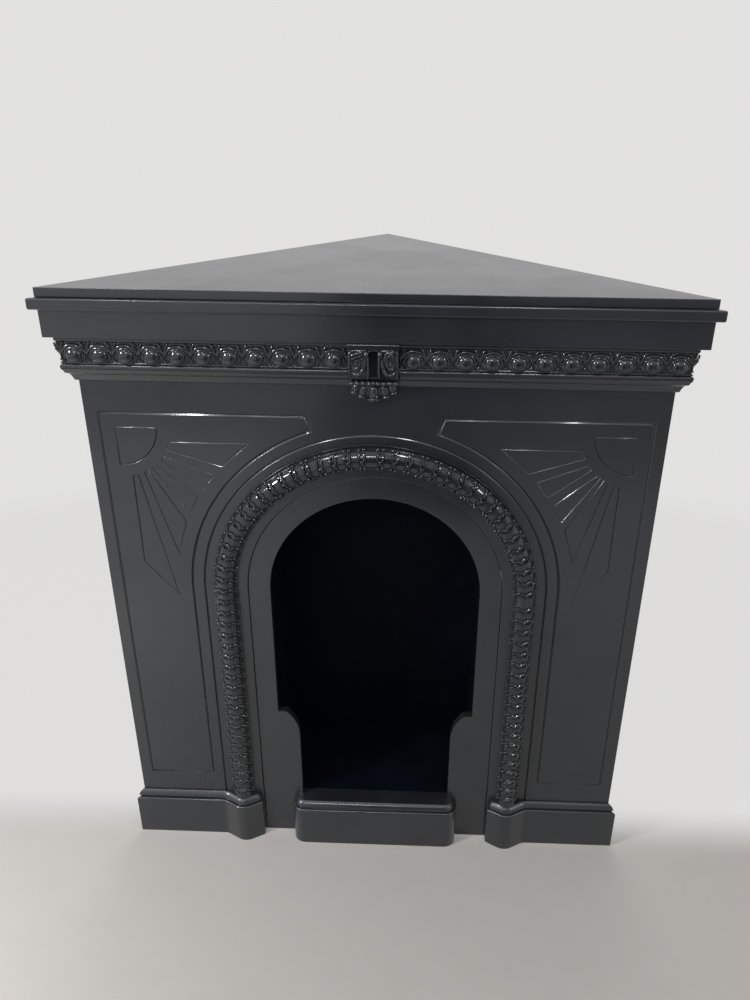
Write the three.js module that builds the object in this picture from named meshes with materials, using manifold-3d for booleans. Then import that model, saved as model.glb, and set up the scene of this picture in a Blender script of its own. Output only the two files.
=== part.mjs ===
// Corner fireplace: a decorative mantel that stands in the right angle between two walls.
// Units are millimetres and +Z is up. Each piece is drawn with the face of the front panel on
// y = 0, the room on the -Y side and the corner of the walls at y = halfWidth. The last group
// moves everything so that the origin lies under the middle of the overall box, on the floor.
import * as THREE from 'three';
import { mergeVertices } from 'three/addons/utils/BufferGeometryUtils.js';
import Module from 'manifold-3d';

const wasm = await Module();
wasm.setup();

// ---------------------------------------------------------------- driving dimensions
const frontWidth = 1000;         // front panel face, wall to wall
const overallHeight = 1200;      // floor to the top of the shelf
const fitGap = 0.3;              // clearance beside a cut, curved or turned neighbour
const planSegments = 3;          // flats in each rounded stretch of a plinth or block
const archSegments = 20;         // flats in the half circles of the panels

// cornice, from the shelf down; each projection is measured from the panel face
const shelfThickness = 15;
const shelfProjection = 36;
const lipThickness = 19;
const lipProjection = 46;
const lipRounding = 5;
const fasciaHeight = 47;
const fasciaProjection = 34.5;
const filletHeight = 10;
const filletProjection = 22.5;
const friezeThickness = 14;
const eggBandHeight = 38.5;
const eggStripThickness = 2.5;
const eggPitch = 43;
const eggWidth = 25;
const eggHeight = 31;
const eggDepth = 7;
const eggsPerSide = 11;
const beadHeight = 8;
const beadProjection = 20;
const bedHeight = 26;

// outlines of the mouldings: projection from the panel face, height above the lower edge
const lipProfile = [
  [0, 0], [lipProjection - lipRounding, 0], [lipProjection - 1.5, 1.5], [lipProjection, lipRounding],
  [lipProjection, lipThickness - lipRounding], [lipProjection - 1.5, lipThickness - 1.5],
  [lipProjection - lipRounding, lipThickness], [0, lipThickness],
];
const filletProfile = [
  [friezeThickness, 0], [filletProjection - 2, 0], [filletProjection, 3],
  [filletProjection, filletHeight], [friezeThickness, filletHeight],
];
const beadProfile = [
  [friezeThickness, 0], [beadProjection - 1, 0], [beadProjection, 1.5],
  [beadProjection, beadHeight - 2.5], [beadProjection - 2.5, beadHeight], [friezeThickness, beadHeight],
];
const bedProfile = [
  [0, 0], [1, 0], [5, 2.5], [6, 6], [7.5, 9.5], [10.5, 14.5], [15.5, 18], [16.5, 21.5],
  [beadProjection, bedHeight], [0, bedHeight],
];

// bracket in the middle of the cornice
const corbelWidth = 84;
const corbelCapThickness = 8.5;
const corbelCapProjection = 37;
const corbelProjection = 34;
const corbelChannelWidth = 13;
const corbelChannelDepth = 12;
const corbelScrollHeight = 53;
const corbelCheek = 1;           // the scrolls stand in from the ends of the cap
const leafProjection = 17;
// front of the scrolls: depth behind their foremost point, drop below the cap
const scrollProfile = [
  [2, -1], [1, 2], [0, 9], [1.5, 18], [6, 26], [8, 34], [6, 42], [5, 48], [9, 53], [13, 55],
];
const leafRootDrop = 65;         // where the scrolls run out over the leaf
const leafTopDrop = 61;
const leafMiddleWidth = 30;
const leafMiddleDrop = 96.5;
const leafSideWidth = 28.5;
const leafSideDrop = 90.5;
const leafSideOffset = 23.5;     // from the middle

// front panel and the arch in it
const panelThickness = 18;
const archHeadroom = 89.5;       // plain panel between the arch line and the bed moulding
const insertRadius = 240;
const mouldingInner = 258;
const mouldingOuter = 304;
const mouldingBase = 3;
const mouldingRound = 20;
const crownBands = 18;           // bands on each half of the crown
const crownBandPitch = 24.3;
const crownGap = 31.4;           // between the two bands beside the top
const crownTurn = 1;             // degrees by which the crown's bands lean to the left
const legBandPitch = 25.1;
const legBandStart = 17;         // first band of a leg, below the springing
const bandWidth = 11;
const bandRise = 1.6;
const mouldingFacets = 7;        // flats that make up the half round
const archLineRadius = 321;
const lineWidth = 5;
const lineDepth = 2.2;

// engraved border and sunburst on each side of the arch
const borderWidth = 6;
const borderDepth = 2.6;
const borderSide = 24;           // from the wall
const borderTop = 57.5;          // below the bed moulding
const borderFoot = 52;           // above the plinth
const borderArcRadius = 344;
const borderTopEnd = 120;        // from the centre line
const borderSlant = 10;
const borderSegments = 7;        // flats in the arc of the border
const sunInset = 26;
const sunRadius = 72;
const rayStart = 96;
const rayMargin = 28;
const rayLastDrop = 269;
const sunSegments = 4;           // flats in the quarter circle
const sunLineWidth = 3.2;
const sunLineDepth = 1.5;
// each ray: its two edges in degrees below level, first at the sun, then at the outer end
const rayAngles = [
  { inner: [16.0, 25.5], outer: [6.5, 21.7] },
  { inner: [34.3, 40.2], outer: [28.1, 39.2] },
  { inner: [49.2, 54.1], outer: [45.3, 55.3] },
  { inner: [59.0, 64.4], outer: [59.9, 70.9] },
  { inner: [72.0, 77.9], outer: [77.1, 85.8] },
];

// insert panel with the opening of the firebox
const insertReveal = 2;
const openingRadius = 198;
const shoulderHeight = 333;
const shoulderStep = 17;
const shoulderRadius = 84;
const throatHalfWidth = 155.5;

// plinths and hearth block
const plinthHeight = 95;
const plinthProjection = 14;
const bulgeProjection = 33;
const bulgeRadius = 30;
const bulgeAngle = 30;
const blockHalfWidth = 175;
const blockProjection = 33;
const blockCornerRadius = 25;
const capRecessHeight = 4;
const capRecessInset = 6;
const capSlopeHeight = 12;
const capBottomInset = 4.5;
const capTopInset = 12;

// firebox behind the insert
const fireboxThickness = 12;
const fireboxSideGap = 7;        // from the edge of the opening to the side wall
const fireboxRailGap = 7.5;      // from its back corners to the rails on the walls
const fireboxHeadroom = 16;      // from the crown of the opening to the top board
const fireboxFloorThickness = 18;
const fireboxFloorDrop = 3;      // below the top of the hearth block
const fireboxCleat = 20;

// frame behind the panels
const postSize = 44;
const stileDepth = 38;
const stileLength = 55;
const railThickness = 18;
const railHeight = 70;
const middleRailHeight = 560;
const battenSize = 28;
const centreBattenWidth = 38;
const cleatWidth = 45;
const cleatThickness = 18;
const cleatHeight = 600;
const crownCleatLength = 200;
const crownCleatHeight = 40;

// steel hardware
const bracketLeg = 40;
const bracketWidth = 25;
const bracketThickness = 3;
const bracketInset = 190;        // from the front corner, and from the post
const screwHeadRadius = 4;
const screwHeadHeight = 2.5;
const screwShankRadius = 1.8;
const railScrewLength = 15;
const shelfScrewLength = 12;
const screwSetback = 26;         // from the inner corner of a bracket

// ---------------------------------------------------------------- places worked out from them
const halfWidth = frontWidth / 2;
const wallLength = halfWidth * Math.SQRT2;
const shelfUnderside = overallHeight - shelfThickness;
const lipUnderside = shelfUnderside - lipThickness;
const fasciaBottom = lipUnderside - fasciaHeight;
const filletBottom = fasciaBottom - filletHeight;
const eggBottom = filletBottom - eggBandHeight;
const beadBottom = eggBottom - beadHeight;
const bedBottom = beadBottom - bedHeight;
const springHeight = bedBottom - archHeadroom - archLineRadius;   // centre of every arc of the arch
const mouldingRadius = (mouldingInner + mouldingOuter) / 2;
const capTop = plinthHeight + capRecessHeight + capSlopeHeight;
const plinthEnd = insertRadius + 1;
const fireboxHalf = openingRadius + fireboxSideGap;
const fireboxOuter = fireboxHalf + fireboxThickness;
const fireboxOuterBack = halfWidth - fireboxOuter - railThickness * Math.SQRT2 - fireboxRailGap;
const fireboxBack = fireboxOuterBack - fireboxThickness;
const fireboxTop = springHeight + openingRadius + fireboxHeadroom;
const fireboxFloorTop = capTop - fireboxFloorDrop;
const corbelHalf = corbelWidth / 2;
const radians = THREE.MathUtils.degToRad;

// ---------------------------------------------------------------- materials
const finish = (color, roughness, metalness = 0) =>
  new THREE.MeshStandardMaterial({ color, roughness, metalness });
const lacquer = finish(0x0b0c0e, 0.28);
const castResin = finish(0x0d0e10, 0.25);
const fireboxPaint = finish(0x040507, 0.7);
const rawBoard = finish(0x8a6a4a, 0.9);
const softwood = finish(0xc9a878, 0.8);
const zincSteel = finish(0xb4b7ba, 0.35, 1);

// ---------------------------------------------------------------- solids and placing
function toSolid(geometry) {
  const bare = geometry.clone();
  bare.deleteAttribute('normal');
  bare.deleteAttribute('uv');
  const merged = mergeVertices(bare, 1e-3);
  const vertProperties = new Float32Array(merged.attributes.position.array);
  const triVerts = new Uint32Array(merged.index.array);
  return new wasm.Manifold(new wasm.Mesh({ numProp: 3, vertProperties, triVerts }));
}

function toGeometry(solid) {
  const mesh = solid.getMesh();
  const geometry = new THREE.BufferGeometry();
  geometry.setAttribute('position', new THREE.BufferAttribute(mesh.vertProperties, 3));
  geometry.setIndex(new THREE.BufferAttribute(mesh.triVerts, 1));
  geometry.computeVertexNormals();
  return geometry;
}

function cut(geometry, ...cutters) {
  return toGeometry(cutters.reduce((solid, cutter) => solid.subtract(toSolid(cutter)), toSolid(geometry)));
}

function join(...geometries) {
  return toGeometry(geometries.map(toSolid).reduce((solid, next) => solid.add(next)));
}

function common(geometry, other) {
  return toGeometry(toSolid(geometry).intersect(toSolid(other)));
}

// the same surface with its faces turned the other way
function reversed(geometry) {
  const copy = geometry.index ? geometry.clone() : mergeVertices(geometry);
  const index = copy.index.array;
  for (let i = 0; i < index.length; i += 3) {
    [index[i + 1], index[i + 2]] = [index[i + 2], index[i + 1]];
  }
  copy.computeVertexNormals();
  return copy;
}

// the same piece for the other side of the fireplace
function mirrored(geometry) {
  return reversed(geometry).scale(-1, 1, 1);
}

// a lathed or mirrored outline can come out with its faces pointing in; this turns them out
function outward(geometry) {
  return toSolid(geometry).volume() < 0 ? reversed(geometry) : geometry;
}

function box(x0, x1, y0, y1, z0, z1) {
  const geometry = new THREE.BoxGeometry(x1 - x0, y1 - y0, z1 - z0);
  geometry.translate((x0 + x1) / 2, (y0 + y1) / 2, (z0 + z1) / 2);
  return geometry;
}

function shapeOf(points) {
  return new THREE.Shape(points.map(([a, b]) => new THREE.Vector2(a, b)));
}

// a shape in plan, raised from z0 to z1
function raised(shape, z0, z1) {
  const geometry = new THREE.ExtrudeGeometry(shape, {
    depth: z1 - z0, bevelEnabled: false, curveSegments: planSegments,
  });
  geometry.translate(0, 0, z0);
  return geometry;
}

// a shape drawn as (x, z) on the front, from y0 back to y1
function facing(shape, y0, y1) {
  const geometry = new THREE.ExtrudeGeometry(shape, {
    depth: y1 - y0, bevelEnabled: false, curveSegments: archSegments,
  });
  geometry.rotateX(Math.PI / 2);
  geometry.translate(0, y1, 0);
  return geometry;
}

// a moulding profile drawn as (projection, z), run along X from x0 to x1
function run(profile, x0, x1) {
  const outline = shapeOf(profile.map(([projection, z]) => [-projection, z]));
  const geometry = new THREE.ExtrudeGeometry(outline, { depth: x1 - x0, bevelEnabled: false });
  geometry.applyMatrix4(new THREE.Matrix4().set(
    0, 0, 1, x0,
    1, 0, 0, 0,
    0, 1, 0, 0,
    0, 0, 0, 1,
  ));
  return geometry;
}

// the room that two walls leave: everything in front of both of them
function betweenWalls(z0, z1) {
  const reach = halfWidth;
  return raised(shapeOf([[-halfWidth - reach, -reach], [halfWidth + reach, -reach], [0, halfWidth]]), z0, z1);
}

// a board parallel to the front whose two ends lie on the walls
function wallToWall(projection, depth, z0, z1) {
  const y0 = -projection;
  const y1 = depth - projection;
  return raised(shapeOf([
    [y0 - halfWidth, y0], [halfWidth - y0, y0], [halfWidth - y1, y1], [y1 - halfWidth, y1],
  ]), z0, z1);
}

const nodes = new THREE.Group();

function add(name, geometry, material, parent = nodes) {
  const mesh = new THREE.Mesh(geometry, material);
  mesh.name = name;
  parent.add(mesh);
  return mesh;
}

// a left-hand piece and its mirror image
function addPair(name, geometry, material) {
  add(`${name}_left`, geometry, material);
  add(`${name}_right`, mirrored(geometry), material);
}

// each wall has its own frame: X runs along the wall from the front edge to the corner
const leftWall = new THREE.Group();
leftWall.position.set(-halfWidth, 0, 0);
leftWall.rotation.z = Math.PI / 4;
const rightWall = new THREE.Group();
rightWall.position.set(halfWidth, 0, 0);
rightWall.rotation.z = 3 * Math.PI / 4;
nodes.add(leftWall, rightWall);
// inward is -Y in the frame of the left wall and +Y in that of the right wall
const walls = [
  { side: 'left', frame: leftWall, inward: -1 },
  { side: 'right', frame: rightWall, inward: 1 },
];
walls.forEach(({ frame }) => frame.updateMatrix());

// a box beside a wall: u runs along it, v is the distance inward from it
function wallBox(inward, u0, u1, v0, v1, z0, z1) {
  return box(u0, u1, Math.min(v0 * inward, v1 * inward), Math.max(v0 * inward, v1 * inward), z0, z1);
}

// ---------------------------------------------------------------- screws
function screw(length) {
  const profile = [
    [0, 0], [screwHeadRadius, 0], [screwHeadRadius, screwHeadHeight],
    [screwShankRadius, screwHeadHeight], [screwShankRadius, screwHeadHeight + length],
    [0, screwHeadHeight + length],
  ];
  const points = profile.map(([r, y]) => new THREE.Vector2(r, y));
  return outward(new THREE.LatheGeometry(points, 8));
}

// the hole for a screw, starting under its head
function pilotHole(length) {
  const depth = length + 2 * fitGap;
  const geometry = new THREE.CylinderGeometry(screwShankRadius + fitGap, screwShankRadius + fitGap, depth, 8);
  geometry.translate(0, screwHeadHeight + depth / 2 - fitGap, 0);
  return geometry;
}

// where a screw stands: the outer face of its head, and the way its point looks
function standing(geometry, position, direction) {
  const copy = geometry.clone();
  copy.applyQuaternion(new THREE.Quaternion().setFromUnitVectors(new THREE.Vector3(0, 1, 0), direction));
  copy.translate(position.x, position.y, position.z);
  return copy;
}

// ---------------------------------------------------------------- shelf and cornice
const bracketPlaces = [bracketInset, wallLength - bracketInset - postSize];

// the two screws of each bracket on one wall: one goes into the rail and one up into the shelf
function bracketScrews(inward) {
  const lift = 2 * fitGap + bracketThickness + screwHeadHeight;
  const railV = (railThickness + lift) * inward;
  const shelfV = (railThickness + screwSetback) * inward;
  return bracketPlaces.flatMap((u, i) => [
    {
      name: `rail_screw_${i + 1}`, into: 'rail', length: railScrewLength,
      at: new THREE.Vector3(u, railV, shelfUnderside - screwSetback), way: new THREE.Vector3(0, -inward, 0),
    },
    {
      name: `shelf_screw_${i + 1}`, into: 'shelf', length: shelfScrewLength,
      at: new THREE.Vector3(u, shelfV, shelfUnderside - lift), way: new THREE.Vector3(0, 0, 1),
    },
  ]);
}

function screwHoles(inward, into = ['rail', 'shelf']) {
  return bracketScrews(inward)
    .filter((one) => into.includes(one.into))
    .map((one) => standing(pilotHole(one.length), one.at, one.way));
}

function buildShelf() {
  const front = -shelfProjection;
  const board = raised(shapeOf([[front - halfWidth, front], [halfWidth - front, front], [0, halfWidth]]),
    shelfUnderside, overallHeight);
  const holes = walls.flatMap(({ frame, inward }) =>
    screwHoles(inward, ['shelf']).map((hole) => hole.applyMatrix4(frame.matrix)));
  add('shelf_top_board', cut(board, ...holes), lacquer);

  const lip = run(raisedTo(lipUnderside, lipProfile), -frontWidth, frontWidth);
  const core = box(-frontWidth, frontWidth, -1, panelThickness, lipUnderside, shelfUnderside);
  add('shelf_lip_moulding', common(join(lip, core), betweenWalls(0, 2 * overallHeight)), lacquer);
}

// an outline with its lower edge at z
function raisedTo(z, profile) {
  return profile.map(([projection, height]) => [projection, z + height]);
}

// a moulding on one side of the corbel, from the wall to the corbel
function sideRun(profile) {
  return common(run(profile, -frontWidth, -corbelHalf - fitGap), betweenWalls(0, 2 * overallHeight));
}

function eggStrip() {
  const back = friezeThickness;
  const front = friezeThickness + eggStripThickness;
  const strip = run([[back, eggBottom], [front, eggBottom], [front, filletBottom], [back, filletBottom]],
    -frontWidth, -corbelHalf - fitGap);
  const eggs = [];
  for (let i = 0; i < eggsPerSide; i += 1) {
    const egg = new THREE.SphereGeometry(0.5, 8, 6);
    egg.scale(eggWidth, eggDepth, eggHeight);
    egg.translate(-eggPitch * (i + 1.5), -back - eggDepth / 2, (eggBottom + filletBottom) / 2);
    eggs.push(egg);
  }
  return common(join(strip, ...eggs), betweenWalls(0, 2 * overallHeight));
}

function buildCornice() {
  add('fascia_board',
    wallToWall(fasciaProjection, fasciaProjection - friezeThickness, fasciaBottom, lipUnderside), lacquer);
  add('frieze_board', wallToWall(friezeThickness, friezeThickness, beadBottom, lipUnderside), rawBoard);
  addPair('fascia_fillet', sideRun(raisedTo(filletBottom, filletProfile)), lacquer);
  addPair('egg_dart_strip', eggStrip(), castResin);
  addPair('frieze_bead', sideRun(raisedTo(beadBottom, beadProfile)), lacquer);
  addPair('bed_moulding', sideRun(raisedTo(bedBottom, bedProfile)), lacquer);
}

// a lobe of the leaf: half of it lies behind the panel face and is cut off
function leafLobe(x, width, drop, top) {
  const height = drop - leafTopDrop;
  const geometry = new THREE.SphereGeometry(0.5, 10, 8);
  geometry.scale(width, 2 * (leafProjection - fitGap), height);
  geometry.translate(x, -fitGap, top - leafTopDrop - height / 2);
  return geometry;
}

function buildCorbel() {
  const capTopZ = fasciaBottom - fitGap;
  const top = capTopZ - corbelCapThickness;
  const rootZ = top - leafRootDrop;
  const shelfZ = beadBottom - fitGap;
  const back = friezeThickness + fitGap;
  const cap = box(-corbelHalf, corbelHalf, -corbelCapProjection, -back, top, capTopZ);
  const side = [
    [back, top + 1],
    ...scrollProfile.map(([behind, drop]) => [corbelProjection - behind, top - drop]),
    [leafProjection, rootZ], [fitGap, rootZ], [fitGap, shelfZ], [back, shelfZ],
  ];
  const body = run(side, corbelCheek - corbelHalf, corbelHalf - corbelCheek);
  const channel = box(-corbelChannelWidth / 2, corbelChannelWidth / 2,
    -corbelProjection - 1, corbelChannelDepth - corbelProjection, top - corbelScrollHeight, top);
  const lobes = [
    leafLobe(0, leafMiddleWidth, leafMiddleDrop, top),
    leafLobe(-leafSideOffset, leafSideWidth, leafSideDrop, top),
    leafLobe(leafSideOffset, leafSideWidth, leafSideDrop, top),
  ];
  const behind = box(-corbelWidth, corbelWidth, -fitGap, frontWidth, 0, overallHeight);
  const aboveBed = box(-corbelWidth, corbelWidth, -back, frontWidth, shelfZ, overallHeight);
  add('keystone_corbel', cut(join(cut(body, channel), cap, ...lobes), behind, aboveBed), castResin);
}

// ---------------------------------------------------------------- arch outlines
// legs down to z0 and a half circle above the springing
function archShape(radius, z0) {
  const shape = new THREE.Shape();
  shape.moveTo(-radius, z0);
  shape.lineTo(radius, z0);
  shape.lineTo(radius, springHeight);
  shape.absarc(0, springHeight, radius, 0, Math.PI, false);
  shape.lineTo(-radius, z0);
  return shape;
}

// a V groove along a closed outline on the face of the front panel
function groove(shape, width, depth, curveSegments) {
  const over = depth / 3;
  const reach = depth + 2 * over;
  const slope = width / 2 / depth;
  const options = { depth: 1, bevelEnabled: true, bevelThickness: reach, bevelSegments: 1, curveSegments };
  const outer = new THREE.ExtrudeGeometry(shape, {
    ...options, bevelSize: slope * reach, bevelOffset: -slope * over,
  });
  outer.rotateX(Math.PI / 2);
  outer.translate(0, -over, 0);
  const inner = new THREE.ExtrudeGeometry(shape, {
    ...options, bevelSize: slope * reach, bevelOffset: -slope * (depth + over),
  });
  inner.rotateX(Math.PI / 2);
  inner.translate(0, options.depth + reach - over, 0);
  return cut(outer, inner);
}

// the engraved border on the left: two walls of it follow the arch
function borderShape() {
  const left = borderSide - halfWidth;
  const top = bedBottom - borderTop;
  const foot = capTop + borderFoot;
  const slantX = borderTopEnd - borderSlant;
  const arcStart = Math.PI - Math.acos(slantX / borderArcRadius);
  const shape = new THREE.Shape();
  shape.moveTo(left, top);
  shape.lineTo(left, foot);
  shape.lineTo(-borderArcRadius, foot);
  shape.lineTo(-borderArcRadius, springHeight);
  shape.absarc(0, springHeight, borderArcRadius, Math.PI, arcStart, true);
  shape.lineTo(-borderTopEnd, top);
  return shape;
}

const sun = { x: borderSide + sunInset - halfWidth, z: bedBottom - borderTop - sunInset };

function quadrantShape() {
  const shape = new THREE.Shape();
  shape.moveTo(sun.x, sun.z);
  shape.lineTo(sun.x, sun.z - sunRadius);
  shape.absarc(sun.x, sun.z, sunRadius, -Math.PI / 2, 0, false);
  return shape;
}

// a point seen from the sun at an angle below level
function fromSun(degrees, distance) {
  return [sun.x + distance * Math.cos(radians(degrees)), sun.z - distance * Math.sin(radians(degrees))];
}

// the point at that angle on the circle that ends the rays
function onRayLimit(degrees) {
  const limit = borderArcRadius + rayMargin;
  const [dx, dz] = [Math.cos(radians(degrees)), -Math.sin(radians(degrees))];
  const [px, pz] = [sun.x, sun.z - springHeight];
  const b = px * dx + pz * dz;
  const c = px * px + pz * pz - limit * limit;
  const distance = -b - Math.sqrt(Math.max(b * b - c, 0));
  return fromSun(degrees, distance);
}

function rayShape({ inner, outer }, isLast) {
  const farEnd = isLast ? fromSun(outer[1], rayLastDrop) : onRayLimit(outer[1]);
  return shapeOf([fromSun(inner[0], rayStart), fromSun(inner[1], rayStart), farEnd, onRayLimit(outer[0])]);
}

// ---------------------------------------------------------------- front and insert panels
function buildPanels() {
  const board = wallToWall(0, panelThickness, 0, lipUnderside);
  const arch = facing(archShape(insertRadius, -1), -1, panelThickness + 1);
  const archLine = groove(archShape(archLineRadius, -plinthHeight), lineWidth, lineDepth, archSegments);
  const border = groove(borderShape(), borderWidth, borderDepth, borderSegments);
  const rays = rayAngles.map((ray, i) => rayShape(ray, i === rayAngles.length - 1));
  const sunburst = [quadrantShape(), ...rays].map((shape) =>
    groove(shape, sunLineWidth, sunLineDepth, sunSegments));
  const leftLines = [border, ...sunburst];
  add('front_panel',
    cut(board, arch, archLine, ...leftLines, ...leftLines.map(mirrored)), lacquer);

  const insert = facing(archShape(insertRadius - fitGap, 0), insertReveal, panelThickness);
  const opening = facing(openingShape(), -1, panelThickness + 1);
  add('insert_panel', cut(insert, opening), lacquer);
}

// arched top, a step inward at the shoulders and a rounded drop to the narrow throat
function openingShape() {
  const sweep = Math.acos(1 - (openingRadius - shoulderStep - throatHalfWidth) / shoulderRadius);
  const arcX = throatHalfWidth + shoulderRadius;
  const arcZ = shoulderHeight - shoulderRadius * Math.sin(sweep);
  const shape = new THREE.Shape();
  shape.moveTo(-throatHalfWidth, fireboxFloorTop);
  shape.lineTo(throatHalfWidth, fireboxFloorTop);
  shape.absarc(arcX, arcZ, shoulderRadius, Math.PI, Math.PI - sweep, true);
  shape.lineTo(openingRadius, shoulderHeight);
  shape.absarc(0, springHeight, openingRadius, 0, Math.PI, false);
  shape.lineTo(-openingRadius, shoulderHeight);
  shape.absarc(-arcX, arcZ, shoulderRadius, sweep, 0, true);
  return shape;
}

// ---------------------------------------------------------------- arch moulding
// both profiles are drawn as (distance across, distance forward)
function halfRound(round) {
  const points = [];
  for (let i = 0; i <= mouldingFacets; i += 1) {
    const angle = Math.PI * (1 - i / mouldingFacets);
    points.push([mouldingRadius + round * Math.cos(angle), mouldingBase + round * Math.sin(angle)]);
  }
  return points;
}

const mouldingProfile = [
  [mouldingInner, 0], [mouldingInner, mouldingBase], ...halfRound(mouldingRound),
  [mouldingOuter, mouldingBase], [mouldingOuter, 0],
];
const bandProfile = halfRound(mouldingRound + bandRise);

// a whole ring, with one facet for each band of the crown, so that no band spans an edge
function mouldingRing(profile) {
  const points = [...profile, profile[0]].map(([r, p]) => new THREE.Vector2(r, -p));
  return outward(new THREE.LatheGeometry(points, 4 * crownBands, Math.PI / 2 - radians(crownTurn)));
}

function buildArchMoulding() {
  const reach = mouldingOuter + 10;
  const upperHalf = box(-reach, reach, -reach, 0, springHeight, overallHeight);
  const slabs = [];
  for (let i = 0; i < crownBands; i += 1) {
    const fromTop = (crownGap / 2 + crownBandPitch * i) / mouldingRadius;
    for (const side of [-1, 1]) {
      const slab = box(mouldingInner - 5, reach, -reach, 5, -bandWidth / 2, bandWidth / 2);
      slab.rotateY(-Math.PI / 2 - radians(crownTurn) + side * fromTop);
      slabs.push(slab);
    }
  }
  const bands = common(mouldingRing(bandProfile), join(...slabs));
  const crown = join(mouldingRing(mouldingProfile), bands);
  crown.translate(0, 0, springHeight);
  add('arch_moulding_crown', common(crown, upperHalf), castResin);

  const legPlan = (profile) => shapeOf(profile.map(([x, p]) => [-x, -p]));
  const legBands = [];
  for (let z = springHeight - legBandStart; z - bandWidth > capTop; z -= legBandPitch) {
    legBands.push(raised(legPlan(bandProfile), z - bandWidth / 2, z + bandWidth / 2));
  }
  const leg = join(raised(legPlan(mouldingProfile), capTop, springHeight), ...legBands);
  addPair('arch_moulding_leg', leg, castResin);
}

// ---------------------------------------------------------------- plinths and hearth block
// plan of the left plinth, drawn in by inset; it runs past the wall and behind the panel
function plinthPlan(inset) {
  const front = plinthProjection - inset;
  const round = bulgeRadius - inset;
  const centre = bulgeProjection - bulgeRadius;
  const tilt = radians(bulgeAngle);
  const noseX = round * Math.sin(tilt);
  const noseP = centre + round * Math.cos(tilt);
  const footX = noseX + (noseP - front) / Math.tan(tilt);
  const endX = mouldingRadius - plinthEnd - inset;
  const endP = noseP - (endX - noseX) * Math.tan(tilt);
  const shape = new THREE.Shape();
  shape.moveTo(-frontWidth, halfWidth / 2);
  shape.lineTo(-frontWidth, -front);
  shape.lineTo(-mouldingRadius - footX, -front);
  shape.lineTo(-mouldingRadius - noseX, -noseP);
  shape.absarc(-mouldingRadius, -centre, round, -Math.PI / 2 - tilt, -Math.PI / 2 + tilt, false);
  shape.lineTo(endX - mouldingRadius, -endP);
  shape.lineTo(endX - mouldingRadius, halfWidth / 2);
  return shape;
}

function blockPlan(inset) {
  const half = blockHalfWidth - inset;
  const front = blockProjection - inset;
  const round = blockCornerRadius - inset;
  const shape = new THREE.Shape();
  shape.moveTo(-half, halfWidth / 2);
  shape.lineTo(-half, round - front);
  shape.absarc(round - half, round - front, round, Math.PI, 1.5 * Math.PI, false);
  shape.lineTo(half - round, -front);
  shape.absarc(half - round, round - front, round, 1.5 * Math.PI, 2 * Math.PI, false);
  shape.lineTo(half, halfWidth / 2);
  return shape;
}

function allAbove(z) {
  return box(-2 * frontWidth, 2 * frontWidth, -frontWidth, frontWidth, z, overallHeight);
}

// cut off at the face that a foot is fixed to, and at the walls
function clippedBehind(geometry, backY) {
  const front = box(-2 * frontWidth, 2 * frontWidth, -frontWidth, backY, -1, overallHeight);
  return common(common(geometry, front), betweenWalls(-1, overallHeight));
}

// what stands on a plinth or block: a recess, then a slope up to the flat top
function capOn(plan, backY) {
  const slopeBottom = plinthHeight + capRecessHeight;
  const recess = raised(plan(capRecessInset), plinthHeight, slopeBottom);
  const slope = new THREE.ExtrudeGeometry(plan(capTopInset), {
    depth: 1, bevelEnabled: true, bevelThickness: capSlopeHeight, bevelSize: capTopInset - capBottomInset,
    bevelSegments: 1, curveSegments: planSegments,
  });
  slope.translate(0, 0, slopeBottom - 1);
  return clippedBehind(join(common(slope, allAbove(slopeBottom)), recess), backY);
}

function footOf(plan, backY) {
  return clippedBehind(raised(plan(0), 0, plinthHeight), backY);
}

function buildBase() {
  addPair('plinth', footOf(plinthPlan, 0), lacquer);
  addPair('plinth_cap', capOn(plinthPlan, 0), lacquer);
  add('hearth_block', footOf(blockPlan, insertReveal), lacquer);
  add('hearth_block_cap', capOn(blockPlan, insertReveal), lacquer);
}

// ---------------------------------------------------------------- firebox
function buildFirebox() {
  const y0 = panelThickness;
  const floorBottom = fireboxFloorTop - fireboxFloorThickness;
  addPair('firebox_side', box(-fireboxOuter, -fireboxHalf, y0, fireboxBack, 0, fireboxTop), fireboxPaint);
  add('firebox_back', box(-fireboxOuter, fireboxOuter, fireboxBack, fireboxOuterBack,
    0, fireboxTop), fireboxPaint);
  add('firebox_top', box(-fireboxOuter, fireboxOuter, y0, fireboxOuterBack,
    fireboxTop, fireboxTop + fireboxThickness), fireboxPaint);
  add('firebox_floor', box(-fireboxHalf, fireboxHalf, y0, fireboxBack,
    floorBottom, fireboxFloorTop), fireboxPaint);
  addPair('firebox_floor_cleat', box(-fireboxHalf, fireboxCleat - fireboxHalf, y0, fireboxBack,
    floorBottom - fireboxCleat, floorBottom), softwood);
}

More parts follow.
